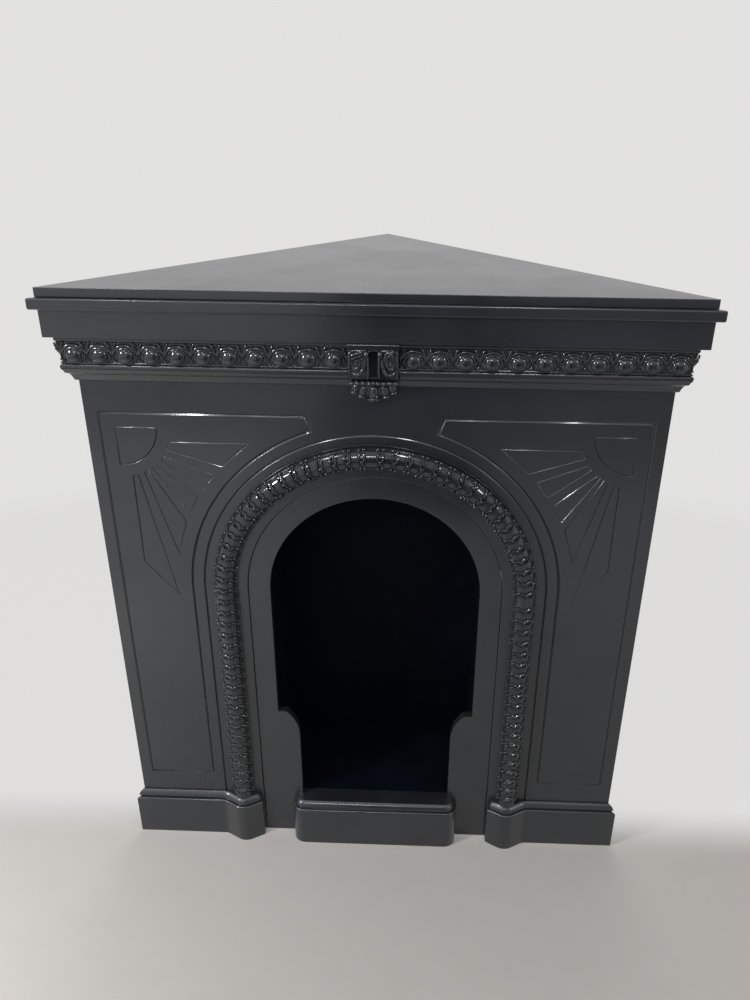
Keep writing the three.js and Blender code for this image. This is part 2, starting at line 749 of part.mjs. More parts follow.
// ---------------------------------------------------------------- frame behind the panels
function buildFrame() {
  const postStart = wallLength - postSize;
  const panelBack = (panelThickness + fitGap) * Math.SQRT2;
  const stileEnd = panelBack + stileLength;
  const rails = [
    { name: 'top', z0: shelfUnderside - railHeight, z1: shelfUnderside },
    { name: 'middle', z0: middleRailHeight, z1: middleRailHeight + railHeight },
    { name: 'bottom', z0: 0, z1: railHeight },
  ];
  walls.forEach(({ side, frame, inward }) => {
    const stile = shapeOf([
      [panelBack, 0], [panelBack + stileDepth, stileDepth * inward], [stileEnd, stileDepth * inward],
      [stileEnd, 0],
    ]);
    add(`front_stile_${side}`, raised(stile, 0, shelfUnderside), softwood, frame);
    rails.forEach(({ name, z0, z1 }) => {
      const rail = wallBox(inward, stileEnd + fitGap, postStart - fitGap, 0, railThickness, z0, z1);
      const holes = name === 'top' ? screwHoles(inward, ['rail']) : [];
      add(`wall_rail_${name}_${side}`, cut(rail, ...holes), softwood, frame);
    });
  });
  const post = wallBox(-1, postStart, wallLength, 0, postSize, 0, shelfUnderside);
  add('rear_corner_post', post, softwood, leftWall);

  const battenBack = panelThickness + battenSize;
  const battenHalf = halfWidth - (stileEnd + stileDepth) / Math.SQRT2 - fitGap;
  add('shelf_front_batten', box(-battenHalf, battenHalf, panelThickness, battenBack,
    shelfUnderside - battenSize, shelfUnderside), softwood);
  const postNose = halfWidth - postSize * Math.SQRT2;
  add('shelf_centre_batten', box(-centreBattenWidth / 2, centreBattenWidth / 2, battenBack, postNose - fitGap,
    shelfUnderside - battenSize, shelfUnderside), softwood);

  const cleatX = fireboxOuter + fitGap;
  const cleatBack = panelThickness + cleatThickness;
  addPair('insert_cleat',
    box(-cleatX - cleatWidth, -cleatX, panelThickness, cleatBack, 0, cleatHeight), softwood);
  const crownZ = fireboxTop + fireboxThickness + fitGap;
  add('insert_cleat_crown', box(-crownCleatLength / 2, crownCleatLength / 2,
    panelThickness, cleatBack, crownZ, crownZ + crownCleatHeight), softwood);
}

// ---------------------------------------------------------------- hardware
function buildHardware() {
  walls.forEach(({ side, frame, inward }) => {
    bracketPlaces.forEach((u, i) => {
      const v = railThickness + fitGap;
      const top = shelfUnderside - fitGap;
      const u0 = u - bracketWidth / 2;
      const u1 = u + bracketWidth / 2;
      const upright = wallBox(inward, u0, u1, v, v + bracketThickness, top - bracketLeg, top);
      const level = wallBox(inward, u0, u1, v, v + bracketLeg, top - bracketThickness, top);
      const bracket = cut(join(upright, level), ...screwHoles(inward));
      add(`shelf_bracket_${side}_${i + 1}`, bracket, zincSteel, frame);
    });
    bracketScrews(inward).forEach(({ name, at, way, length }) => {
      add(`${name}_${side}`, standing(screw(length), at, way), zincSteel, frame);
    });
  });
}

buildShelf();
buildCornice();
buildCorbel();
buildPanels();
buildArchMoulding();
buildBase();
buildFirebox();
buildFrame();
buildHardware();

// the overall box runs from the front of the lip to the corner of the walls
nodes.position.set(0, (lipProjection - halfWidth) / 2, 0);
const fireplace = new THREE.Group();
fireplace.add(nodes);
export default fireplace;
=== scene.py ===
import math

import bmesh
import bpy
from mathutils import Matrix, Vector


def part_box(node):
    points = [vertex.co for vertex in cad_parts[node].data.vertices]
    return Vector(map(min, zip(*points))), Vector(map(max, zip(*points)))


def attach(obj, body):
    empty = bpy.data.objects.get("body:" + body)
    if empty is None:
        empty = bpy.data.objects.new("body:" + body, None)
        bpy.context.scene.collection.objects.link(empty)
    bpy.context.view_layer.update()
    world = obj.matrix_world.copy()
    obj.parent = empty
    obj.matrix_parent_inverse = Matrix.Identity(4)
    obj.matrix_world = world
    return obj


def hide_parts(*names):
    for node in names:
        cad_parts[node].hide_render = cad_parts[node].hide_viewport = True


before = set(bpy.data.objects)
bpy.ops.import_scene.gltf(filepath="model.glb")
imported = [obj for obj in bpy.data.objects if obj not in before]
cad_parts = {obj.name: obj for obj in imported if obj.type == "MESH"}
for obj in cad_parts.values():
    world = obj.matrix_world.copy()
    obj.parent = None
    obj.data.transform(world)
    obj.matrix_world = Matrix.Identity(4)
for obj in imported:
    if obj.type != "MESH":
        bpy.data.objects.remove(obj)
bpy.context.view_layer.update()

# Corner fireplace in satin black lacquer: metres, +Z up, the room on the -Y side.
# Every place is worked out from the solids of the frame; lists inside mm() are in millimetres.

scene = bpy.context.scene
panelLow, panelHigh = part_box("front_panel")
faceY = panelLow.y                  # face of the front panel
halfWidth = panelHigh.x             # the walls start here on the face and run back at 45 degrees
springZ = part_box("arch_moulding_crown")[0].z        # centre of every arc of the arch
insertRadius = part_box("insert_panel")[1].x          # outer radius of the insert
fitGap = 0.0003                     # room left where two pieces meet
pastWalls = 1.0                     # runs end here, to be cut back to the walls
samePlace = 1e-6                    # nearer than this counts as the same place
weld = 1e-7                         # points nearer than this are merged
arcSteps = 96


def mm(values):
    # millimetres, in lists of any depth, as metres
    return [mm(value) if isinstance(value, (list, tuple)) else 0.001 * value for value in values]


# materials

def fill(tree, node, inputs):
    # each value is a link's source, a number or a colour
    for label, value in inputs.items():
        socket = node.inputs[label]
        if isinstance(value, bpy.types.NodeSocket):
            tree.links.new(value, socket)
        elif value is not None:
            socket.default_value = (*value, 1) if socket.type == "RGBA" and len(value) == 3 else value


def addNode(tree, kind, output, inputs, **settings):
    node = tree.nodes.new("ShaderNode" + kind)
    for name, value in settings.items():
        setattr(node, name, value)
    fill(tree, node, inputs)
    return node.outputs[output]


def noise(tree, place, scale, detail=2.0, roughness=0.5):
    return addNode(tree, "TexNoise", "Fac",
                   {"Vector": place, "Scale": scale, "Detail": detail, "Roughness": roughness})


def remap(tree, value, fromMin, fromMax, toMin=0.0, toMax=1.0, smooth=True):
    return addNode(tree, "MapRange", "Result",
                   {"Value": value, "From Min": fromMin, "From Max": fromMax,
                    "To Min": toMin, "To Max": toMax},
                   interpolation_type="SMOOTHSTEP" if smooth else "LINEAR")


def maths(tree, operation, first, second=None, third=None):
    return addNode(tree, "Math", "Value", {0: first, 1: second, 2: third}, operation=operation)


def blend(tree, share, colorA, colorB):
    return addNode(tree, "Mix", 2, {0: share, 6: colorA, 7: colorB}, data_type="RGBA")


def axisOf(tree, vector, axis):
    return addNode(tree, "SeparateXYZ", axis, {"Vector": vector})


def effectGroup(name, build, **inputs):
    # a node group from its inputs; build gives its outputs, all plain numbers
    group = bpy.data.node_groups.new(name, "ShaderNodeTree")
    for label, value in inputs.items():
        kind = "NodeSocketVector" if value is None else "NodeSocketFloat"
        socket = group.interface.new_socket(name=label.replace("_", " "), in_out="INPUT", socket_type=kind)
        if value is not None:
            socket.default_value = value
    results = build(group, group.nodes.new("NodeGroupInput").outputs)
    for label in results:
        group.interface.new_socket(name=label, in_out="OUTPUT", socket_type="NodeSocketFloat")
    fill(group, group.nodes.new("NodeGroupOutput"), results)
    return group


def sprayedCoat(group, given):
    # fine orange peel of a sprayed coat, with a slow drift of its gloss
    drift = remap(group, noise(group, given["Position"], 7.0, 3.0, 0.6), 0.3, 0.7)
    gloss = remap(group, drift, 0.0, 1.0, given["Gloss Low"], given["Gloss High"], smooth=False)
    peel = noise(group, given["Position"], given["Peel Scale"], 1.5)
    return {"Roughness": gloss, "Height": peel, "Drift": drift}


def settledDust(group, given):
    # a thin film on faces that look up, broken by noise
    upward = remap(group, axisOf(group, given["Normal"], "Z"), 0.55, 1.0)
    broken = remap(group, noise(group, given["Position"], 14.0, 5.0, 0.65), 0.35, 0.75)
    both = maths(group, "MULTIPLY", upward, broken)
    return {"Mask": maths(group, "MULTIPLY", both, given["Amount"])}


def backOfBoard(group, given):
    # 1 on faces that look back into the corner, where the board is left raw
    backward = remap(group, axisOf(group, given["Normal"], "Y"), 0.55, 0.75)
    wander = maths(group, "MULTIPLY", noise(group, given["Position"], 45.0, 3.0), given["Ragged"])
    reach = maths(group, "SUBTRACT", axisOf(group, given["Position"], "Y"), wander)
    behind = maths(group, "GREATER_THAN", reach, given["Front Limit"])
    return {"Mask": maths(group, "MULTIPLY", backward, behind)}


def timberGrain(group, given):
    # growth lines along X, wavy and uneven, with a few knots
    stretched = addNode(group, "Mapping", "Vector", {"Vector": given["Position"], "Scale": (0.12, 1.0, 1.0)})
    grain = addNode(group, "TexWave", "Fac",
                    {"Vector": stretched, "Scale": given["Ring Scale"], "Distortion": given["Wander"],
                     "Detail": 3.0, "Detail Scale": 1.6}, bands_direction="Y")
    cells = addNode(group, "TexVoronoi", "Distance", {"Vector": given["Position"], "Scale": 9.0})
    fibre = noise(group, stretched, 900.0)
    return {"Grain": grain, "Knots": remap(group, cells, 0.0, 0.1, 1.0, 0.0),
            "Height": maths(group, "MULTIPLY_ADD", fibre, 0.25, grain)}


def fineSpeckle(group, given):
    # pressed fibres: two sizes of speckle
    fine = noise(group, given["Position"], given["Scale"], 4.0, 0.75)
    patch = noise(group, given["Position"], 22.0, 3.0)
    return {"Speckle": maths(group, "MULTIPLY_ADD", remap(group, fine, 0.3, 0.7), 0.6, patch)}


effects = {
    "coat": effectGroup("sprayed coat", sprayedCoat, Position=None, Peel_Scale=420.0, Gloss_Low=0.25,
                        Gloss_High=0.35),
    "dust": effectGroup("settled dust", settledDust, Position=None, Normal=None, Amount=0.3),
    "back": effectGroup("back of a board", backOfBoard, Position=None, Normal=None, Front_Limit=-0.22,
                        Ragged=0.006),
    "timber": effectGroup("timber grain", timberGrain, Position=None, Ring_Scale=60.0, Wander=4.0),
    "speckle": effectGroup("fine speckle", fineSpeckle, Position=None, Scale=260.0),
}


def startMaterial(name):
    material = bpy.data.materials.new(name)
    material.use_nodes = True
    tree = material.node_tree
    return material, tree, tree.nodes["Principled BSDF"], tree.nodes.new("ShaderNodeTexCoord").outputs


def useEffect(tree, name, **values):
    node = tree.nodes.new("ShaderNodeGroup")
    node.node_tree = effects[name]
    fill(tree, node, {label.replace("_", " "): value for label, value in values.items()})
    return node.outputs


def bumpFrom(tree, height, strength, distance):
    return addNode(tree, "Bump", "Normal", {"Height": height, "Strength": strength, "Distance": distance})


rawBoardLook = {"dark": (0.26, 0.18, 0.11), "light": (0.46, 0.34, 0.22), "rough": 0.85}
lacquerLook = {
    "dark": (0.0086, 0.0099, 0.0124), "light": (0.0116, 0.0131, 0.0158), "dustColor": (0.09, 0.09, 0.095),
    "rawBehind": faceY + 0.011, "glossLow": 0.26, "glossHigh": 0.34, "dust": 0.03,
    "specular": 0.6, "specularTint": (0.90, 0.95, 1.0), "coat": 0.6, "coatRough": 0.12,
    "peelScale": 420.0, "peelStrength": 0.12, "peelDepth": 0.0004,
}
castingLook = dict(lacquerLook, glossLow=0.10, glossHigh=0.15, dust=0.02, rawBehind=1.0, coat=0.3,
                   peelScale=700.0, peelDepth=0.0003)
fireboxLook = dict(lacquerLook, glossLow=0.5, glossHigh=0.66, dust=0.0, rawBehind=1.0, specular=0.07, coat=0,
                   dark=(0.0008, 0.0022, 0.0044), light=(0.0014, 0.0034, 0.0062),
                   peelScale=260.0, peelStrength=0.25, peelDepth=0.0006)


def blackCoatMaterial(name, look):
    material, tree, shader, place = startMaterial(name)
    where, facing = place["Object"], place["Normal"]
    coat = useEffect(tree, "coat", Position=where, Peel_Scale=look["peelScale"], Gloss_Low=look["glossLow"],
                     Gloss_High=look["glossHigh"])
    dust = useEffect(tree, "dust", Position=where, Normal=facing, Amount=look["dust"])["Mask"]
    back = useEffect(tree, "back", Position=where, Normal=facing, Front_Limit=look["rawBehind"])["Mask"]
    speckle = useEffect(tree, "speckle", Position=where)["Speckle"]
    dusty = blend(tree, dust, blend(tree, coat["Drift"], look["dark"], look["light"]), look["dustColor"])
    raw = blend(tree, speckle, rawBoardLook["dark"], rawBoardLook["light"])
    duller = maths(tree, "MULTIPLY_ADD", dust, 0.5, coat["Roughness"])
    fill(tree, shader, {
        "Base Color": blend(tree, back, dusty, raw),
        "Roughness": maths(tree, "MAXIMUM", duller, maths(tree, "MULTIPLY", back, rawBoardLook["rough"])),
        "Specular IOR Level": look["specular"], "Specular Tint": look["specularTint"],
        "Coat Weight": look["coat"], "Coat Roughness": look["coatRough"],
        "Normal": bumpFrom(tree, coat["Height"], look["peelStrength"], look["peelDepth"])})
    return material


softwoodLook = {
    "dark": (0.50, 0.33, 0.17), "light": (0.68, 0.50, 0.30), "knot": (0.17, 0.085, 0.035),
    "rough": (0.62, 0.74), "ringScale": 34.0, "wander": 5.0, "bumpStrength": 0.25, "bumpDepth": 0.0006,
}


def softwoodMaterial(name, turn, shift):
    # turn, in degrees, brings the length of the piece onto the X axis of the grain
    look = softwoodLook
    material, tree, shader, place = startMaterial(name)
    along = addNode(tree, "Mapping", "Vector", {
        "Vector": place["Object"], "Location": shift, "Rotation": [math.radians(part) for part in turn]})
    timber = useEffect(tree, "timber", Position=along, Ring_Scale=look["ringScale"], Wander=look["wander"])
    tone = blend(tree, timber["Grain"], look["dark"], look["light"])
    fill(tree, shader, {
        "Base Color": blend(tree, timber["Knots"], tone, look["knot"]),
        "Roughness": remap(tree, timber["Grain"], 0.0, 1.0, *look["rough"]),
        "Normal": bumpFrom(tree, timber["Height"], look["bumpStrength"], look["bumpDepth"])})
    return material


zincLook = {"dark": (0.50, 0.51, 0.53), "light": (0.66, 0.67, 0.68), "glossLow": 0.3, "glossHigh": 0.46,
            "peelScale": 1400.0, "bumpStrength": 0.1, "bumpDepth": 0.0002}


def zincMaterial():
    look = zincLook
    material, tree, shader, place = startMaterial("zinc steel")
    coat = useEffect(tree, "coat", Position=place["Object"], Peel_Scale=look["peelScale"],
                     Gloss_Low=look["glossLow"], Gloss_High=look["glossHigh"])
    fill(tree, shader, {
        "Base Color": blend(tree, coat["Drift"], look["dark"], look["light"]),
        "Roughness": coat["Roughness"], "Metallic": 1.0,
        "Normal": bumpFrom(tree, coat["Height"], look["bumpStrength"], look["bumpDepth"])})
    return material


lacquer = blackCoatMaterial("black lacquer", lacquerLook)
casting = blackCoatMaterial("cast ornament", castingLook)
fireboxPaint = blackCoatMaterial("firebox paint", fireboxLook)
upright = softwoodMaterial("softwood upright", (0, 90, 0), (0.3, 0.11, 0.2))
acrossFront = softwoodMaterial("softwood across", (0, 0, 0), (0.7, 0.33, 0.4))
frontToBack = softwoodMaterial("softwood front to back", (0, 0, 90), (0.1, 0.6, 0.5))
alongLeft = softwoodMaterial("softwood along left wall", (0, 0, -45), (0.2, 0.4, 0.7))
alongRight = softwoodMaterial("softwood along right wall", (0, 0, 45), (0.9, 0.8, 0.1))
zinc = zincMaterial()
print("materials ready")


# modelling helpers

def vertsIn(made):
    return [item for item in made["geom"] if isinstance(item, bmesh.types.BMVert)]


def meshFrom(bm, name, *materials):
    mesh = bpy.data.meshes.new(name)
    bm.to_mesh(mesh)
    bm.free()
    for material in materials:
        mesh.materials.append(material)
    return mesh


def addObject(name, data):
    thing = bpy.data.objects.new(name, data)
    scene.collection.objects.link(thing)
    return thing


def bevelEdges(bm, edges, offset, segments=2):
    bmesh.ops.bevel(bm, geom=edges, offset=offset, segments=segments, profile=0.5, affect="EDGES",
                    material=-1)


def pushOut(bm, faces, vec):
    made = bmesh.ops.extrude_face_region(bm, geom=faces)
    bmesh.ops.translate(bm, verts=vertsIn(made), vec=vec)
    bmesh.ops.recalc_face_normals(bm, faces=bm.faces)


def finishPiece(bm, name, node, slot="black_lacquer", sharpAngle=38):
    # cast ornament is shaded round, boards keep their flats flat beside small rounded edges
    cast = slot == "cast_ornament"
    bmesh.ops.remove_doubles(bm, verts=bm.verts, dist=samePlace)
    bmesh.ops.recalc_face_normals(bm, faces=bm.faces)
    mesh = meshFrom(bm, name, casting if cast else lacquer)
    mesh.polygons.foreach_set("use_smooth", [True] * len(mesh.polygons))
    mesh.set_sharp_from_angle(angle=math.radians(50 if cast else sharpAngle))
    piece = addObject(name, mesh)
    if not cast:
        shading = piece.modifiers.new("even shading", "WEIGHTED_NORMAL")
        shading.keep_sharp = True
        shading.weight = 60
    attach(piece, "root")
    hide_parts(node)


def finishBothSides(bm, name, node, slot="black_lacquer"):
    # bm is the left piece; its mirror image is the right one
    other = bm.copy()
    bmesh.ops.scale(other, vec=(-1, 1, 1), verts=other.verts)
    bmesh.ops.reverse_faces(other, faces=other.faces)
    finishPiece(bm, name + "_left", node + "_left", slot)
    finishPiece(other, name + "_right", node + "_right", slot)


def cutAway(bm, point, normal):
    # removes what lies beyond a plane and closes the cut
    made = bmesh.ops.bisect_plane(bm, geom=bm.verts[:] + bm.edges[:] + bm.faces[:], dist=weld,
                                  plane_co=point, plane_no=normal, clear_outer=True)
    cutEdges = [item for item in made["geom_cut"] if isinstance(item, bmesh.types.BMEdge)]
    openEdges = [edge for edge in cutEdges if edge.is_valid and edge.is_boundary]
    bmesh.ops.holes_fill(bm, edges=openEdges, sides=0)


def trimToWalls(bm):
    for side in (-1, 1):
        cutAway(bm, (side * halfWidth, faceY, 0), (side, 1, 0))


def roundedFace(bm, corners, place):
    # corners are (a, b, rounding); place turns (a, b) into a point
    verts = faceFrom(bm, [place(a, b) for a, b, rounding in corners]).verts[:]
    for rounding in sorted({corner[2] for corner in corners if corner[2] > 0}):
        chosen = [vert for vert, corner in zip(verts, corners) if corner[2] == rounding]
        bmesh.ops.bevel(bm, geom=chosen, offset=rounding, offset_type="OFFSET", segments=4,
                        profile=0.5, affect="VERTICES", material=-1)
    return bm.faces[:]


def runAcross(corners, lowZ, start, stop):
    # a moulding whose outline is (projection, height, rounding), run along X
    bm = bmesh.new()
    faces = roundedFace(bm, corners, lambda p, z: (start, faceY - p, lowZ + z))
    pushOut(bm, faces, (stop - start, 0, 0))
    return bm


def arcPoints(centreA, centreB, radius, fromDegrees, toDegrees, steps):
    points = []
    for i in range(steps + 1):
        angle = math.radians(fromDegrees + (toDegrees - fromDegrees) * i / steps)
        points.append((centreA + radius * math.cos(angle), centreB + radius * math.sin(angle)))
    return points


def faceFrom(bm, points):
    return bm.faces.new([bm.verts.new(point) for point in points])


def loopAt(bm, points):
    verts = [bm.verts.new(point) for point in points]
    return [bm.edges.new((verts[i - 1], verts[i])) for i in range(len(verts))]


# shelf and cornice

corniceLook = {
    "shelfFront": 0.036, "shelfEdge": 0.0012,
    # outlines in millimetres: projection, height, rounding
    "lip": mm([(-14, 0.2, 0), (46, 0.2, 3.5), (46, 18.8, 2.4), (-14, 18.8, 0)]),
    "fascia": mm([(14, 0, 0), (34.5, 0, 1.2), (34.5, 47, 0.6), (14, 47, 0)]),
    "fillet": mm([(14, 0, 0), (20.5, 0, 1.2), (22.5, 3, 1.2), (22.5, 10, 0.5), (14, 10, 0)]),
    "bead": mm([(14, 0, 0), (20, 0, 1.8), (20, 6.6, 2.6), (14, 8, 0)]),
    "bed": mm([(0, 0, 0), (1.2, 0, 0.2), (5.2, 2.4, 1.2), (6.4, 7, 2.2), (9.8, 14.4, 2.2),
               (15.6, 17.6, 1.2), (16.6, 21.2, 1.6), (20, 26, 0.4), (0, 26, 0)]),
}


def buildShelf():
    low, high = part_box("shelf_top_board")
    reach = corniceLook["shelfFront"]
    bm = bmesh.new()
    wide = halfWidth + reach
    corners = [(-wide, faceY - reach), (wide, faceY - reach), (0, faceY + halfWidth)]
    face = faceFrom(bm, [(x, y, low.z) for x, y in corners])
    pushOut(bm, [face], (0, 0, high.z - low.z))
    frontEdges = [edge for edge in bm.edges
                  if all(abs(vert.co.y - (faceY - reach)) < samePlace for vert in edge.verts)]
    bevelEdges(bm, frontEdges, corniceLook["shelfEdge"], segments=3)
    finishPiece(bm, "shelf_board", "shelf_top_board")


def buildCornice():
    for outline, name, node in (("lip", "shelf_lip", "shelf_lip_moulding"),
                                ("fascia", "fascia", "fascia_board")):
        strip = runAcross(corniceLook[outline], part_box(node)[0].z, -pastWalls, pastWalls)
        trimToWalls(strip)
        finishPiece(strip, name, node)
    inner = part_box("bed_moulding_left")[1].x
    for outline, node in (("fillet", "fascia_fillet"), ("bead", "frieze_bead"), ("bed", "bed_moulding")):
        strip = runAcross(corniceLook[outline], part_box(node + "_left")[0].z, -pastWalls, inner)
        trimToWalls(strip)
        finishBothSides(strip, node.title().replace("_", ""), node)


buildShelf()
buildCornice()
print("shelf and cornice built")


# carving: flat ornament in (across, up, out), laid on a surface afterwards

def addTubes(bm, paths, roundness=2):
    # each path is a list of (across, up, out, radius); tapering round ridges
    curve = bpy.data.curves.new("ridges", "CURVE")
    curve.dimensions = "3D"
    curve.bevel_depth = 1.0
    curve.bevel_resolution = roundness
    curve.use_fill_caps = True
    for path in paths:
        spline = curve.splines.new("NURBS")
        spline.points.add(len(path) - 1)
        for point, (across, up, out, radius) in zip(spline.points, path):
            point.co = (across, up, out, 1)
            point.radius = radius
        spline.order_u = min(4, len(path))
        spline.use_endpoint_u = True
        spline.resolution_u = 3
    holder = addObject("ridges", curve)
    mesh = bpy.data.meshes.new_from_object(holder.evaluated_get(bpy.context.evaluated_depsgraph_get()))
    part = bmesh.new()
    part.from_mesh(mesh)
    bmesh.ops.remove_doubles(part, verts=part.verts, dist=weld)
    bmesh.ops.recalc_face_normals(part, faces=part.faces)
    appendMesh(bm, part)
    bpy.data.objects.remove(holder)
    bpy.data.curves.remove(curve)
    bpy.data.meshes.remove(mesh)


def withMirrors(paths, middle=0.0):
    # each path, then its mirror image about a line across the unit
    return [made for path in paths
            for made in (path, [(2 * middle - across, up, out, radius) for across, up, out, radius in path])]


def appendMesh(bm, part):
    holder = meshFrom(part, "part")
    bm.from_mesh(holder)
    bpy.data.meshes.remove(holder)


def addDome(bm, across, up, out, width, height, depth, turn=0.0, rings=8, sides=14):
    made = bmesh.ops.create_uvsphere(bm, u_segments=sides, v_segments=rings, radius=0.5)
    verts = made["verts"]
    bmesh.ops.scale(bm, vec=(width, height, depth), verts=verts)
    bmesh.ops.rotate(bm, cent=(0, 0, 0), matrix=Matrix.Rotation(turn, 3, "Z"), verts=verts)
    bmesh.ops.translate(bm, vec=(across, up, out), verts=verts)


def layOn(bm, unit, placing):
    # adds a copy of the flat unit with each of its points moved by placing
    start = len(bm.verts)
    bm.from_mesh(unit)
    bm.verts.ensure_lookup_table()
    for vert in bm.verts[start:]:
        vert.co = placing(*vert.co)


def flatUnit(build):
    bm = bmesh.new()
    build(bm)
    return meshFrom(bm, "unit")


# egg and dart strip

eggLook = {
    "pitch": 0.043, "first": 0.0645, "back": 0.014, "ground": 0.0022, "height": 0.0385,
    "eggUp": 0.0152, "eggOut": 0.0042, "eggWidth": 0.0268, "eggHeight": 0.0262, "eggDepth": 0.0156,
    "cupWidth": 0.0350, "cupHeight": 0.0330, "cupDepth": 0.0096,
    # radii of the ridges, in millimetres
    "shell": 3.6, "arm": 1.9, "leaf": 2.0, "dart": 1.5,
}


def eggUnit(bm):
    look = eggLook
    addDome(bm, 0, look["eggUp"], look["ground"], look["cupWidth"], look["cupHeight"], look["cupDepth"],
            rings=10, sides=24)
    addDome(bm, 0, look["eggUp"], look["eggOut"], look["eggWidth"], look["eggHeight"], look["eggDepth"],
            rings=12, sides=24)
    # in millimetres: wide pointed arch over the egg, line inside it and arm beside it
    half = 500 * look["pitch"]
    shell, arm, leaf, dart = (look[name] for name in ("shell", "arm", "leaf", "dart"))
    ridges = [
        [(half - 0.6, 19, 2.6, shell * 0.75), (18, 24.4, 4, shell), (12.8, 29.4, 5.2, shell * 1.1),
         (6, 32.2, 5.8, shell * 1.1), (0, 33.2, 5.8, shell)],
        [(15.8, 10, 2.2, arm), (15.4, 18, 3.4, arm * 1.2), (12, 23.6, 5.6, shell * 0.7),
         (6, 27.4, 7, shell * 0.75), (0, 28.6, 7.4, shell * 0.75)],
        [(18.8, 19, 2.6, arm), (18, 12, 2.6, arm), (15.2, 4.8, 2.2, arm * 0.9)],
    ]
    # the leaf between two eggs, and the dart below it
    centred = [
        [(half - 7.8, 37.6, 7, leaf), (half - 5.2, 32.2, 8.2, leaf * 1.3), (half - 1.6, 24.6, 6.8, leaf),
         (half, 20.4, 4.6, leaf * 0.6)],
        [(half - 3.4, 37.6, 6.6, leaf * 0.7), (half - 1.6, 32.6, 6.6, leaf * 0.8),
         (half, 27.6, 5.4, leaf * 0.5)],
        [(half, 9.2, 3, dart), (half - 3.6, 4.2, 2.6, dart)],
    ]
    stem = [(half, 19, 3, arm * 0.8), (half, 10, 2.6, arm * 0.7)]
    addTubes(bm, mm([stem] + withMirrors(ridges) + withMirrors(centred, half)))


def buildEggStrip():
    low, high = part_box("egg_dart_strip_left")
    look = eggLook
    unit = flatUnit(eggUnit)
    back, front = look["back"], look["back"] + look["ground"]
    ground = [(back, 0, 0), (back + 0.0042, 0, 0.0012), (back + 0.0042, 0.0026, 0.0012),
              (front, 0.0034, 0.0004), (front, 0.0210, 0.0060), (back + 0.0046, 0.0300, 0.0040),
              (back + 0.0064, look["height"], 0.0004), (back, look["height"], 0)]
    bm = runAcross(ground, low.z, -pastWalls, high.x)
    count = int((halfWidth + back - look["first"]) / look["pitch"]) + 2
    for i in range(count):
        centre = -look["first"] - look["pitch"] * i
        layOn(bm, unit, lambda across, up, out: Vector(
            (centre + across, faceY - back - out, low.z + up)))
    cutAway(bm, (high.x, 0, 0), (1, 0, 0))
    trimToWalls(bm)
    finishBothSides(bm, "EggAndDart", "egg_dart_strip", "cast_ornament")


buildEggStrip()
print("egg and dart strips built")


# arch moulding

archLook = {
    "radius": 0.281, "round": 0.020, "base": 0.003, "inner": 0.258, "outer": 0.304,
    "outerStep": 0.0045, "bandWidth": 0.011, "crownSteps": 144, "crownBands": 18, "crownPitch": 0.0243,
    "crownGap": 0.0314, "crownTurn": 1.0, "legPitch": 0.0251, "legStart": 0.017,
}


def mouldingOutline():
    # (distance from the centre of the arch, distance forward)
    look = archLook
    crest = arcPoints(look["radius"], look["base"], look["round"], 180, 0, 18)
    return ([(look["inner"], 0), (look["inner"], look["base"] * 0.8),
             (look["inner"] + 0.0007, look["base"])] + crest
            + [(look["radius"] + look["round"] + 0.0004, look["outerStep"]),
               (look["outer"] - 0.0009, look["outerStep"]),
               (look["outer"], look["outerStep"] - 0.0012), (look["outer"], 0)])


def bandUnit(bm):
    # across is along the moulding, up is round it from its inner to its outer edge
    for across, up, size in ((0.0040, 0.0222, 0.0064), (0.0041, -0.0124, 0.0056),
                             (0.0038, -0.0232, 0.0054)):
        for side in (-1, 1):
            addDome(bm, side * across, up, 0.0012, size, size, size, rings=6, sides=8)
    addDome(bm, 0, 0.0008, 0.0012, 0.0072, 0.0044, 0.0068, rings=6, sides=8)
    # in millimetres: heart lobe, the cross above it, the leaves below the tie, and the edge of the band
    halves = [
        [(0, 0.6, 1, 1.6), (3.8, 3, 1.8, 2.4), (5.6, 8.4, 2, 2.6), (4.3, 13.4, 1.9, 2.4),
         (1.4, 13.8, 1, 1.5)],
        [(2.8, 20, 1.2, 1.6), (0.7, 17.1, 1.4, 1.7), (2.8, 14.2, 1.1, 1.4)],
        [(0, -0.6, 1, 1.4), (3.2, -3, 1.6, 2), (3.7, -6.6, 1.5, 1.9), (1.2, -9.6, 0.8, 1.3)],
        [(0, -15, 0.8, 1.3), (2.7, -17.8, 1.3, 1.7), (1, -21.2, 0.8, 1.2)],
        [(5.8, 25, 0.2, 0.9), (6.1, 10, 0.4, 1), (5.8, 0, 0.4, 1), (6.1, -11, 0.4, 1),
         (5.7, -25.6, 0.2, 0.9)],
    ]
    vein = [(0, 9.8, 0.6, 1), (0, 6, 1.2, 1.5), (0, 3, 0.6, 0.9)]
    addTubes(bm, mm([vein] + withMirrors(halves)), roundness=1)


def roundMoulding(up, out):
    # distance from the centre of the arch and forward of the panel, for a place on the half round
    look = archLook
    reach, turn = look["round"] + out, up / look["round"]
    return look["radius"] + reach * math.sin(turn), look["base"] + reach * math.cos(turn)


def onCrown(angle):
    def placing(across, up, out):
        radius, forward = roundMoulding(up, out)
        around = angle + across / archLook["radius"]
        return Vector((radius * math.cos(around), faceY - forward, springZ + radius * math.sin(around)))
    return placing


def onLeg(z):
    def placing(across, up, out):
        radius, forward = roundMoulding(up, out)
        return Vector((-radius, faceY - forward, z + across))
    return placing


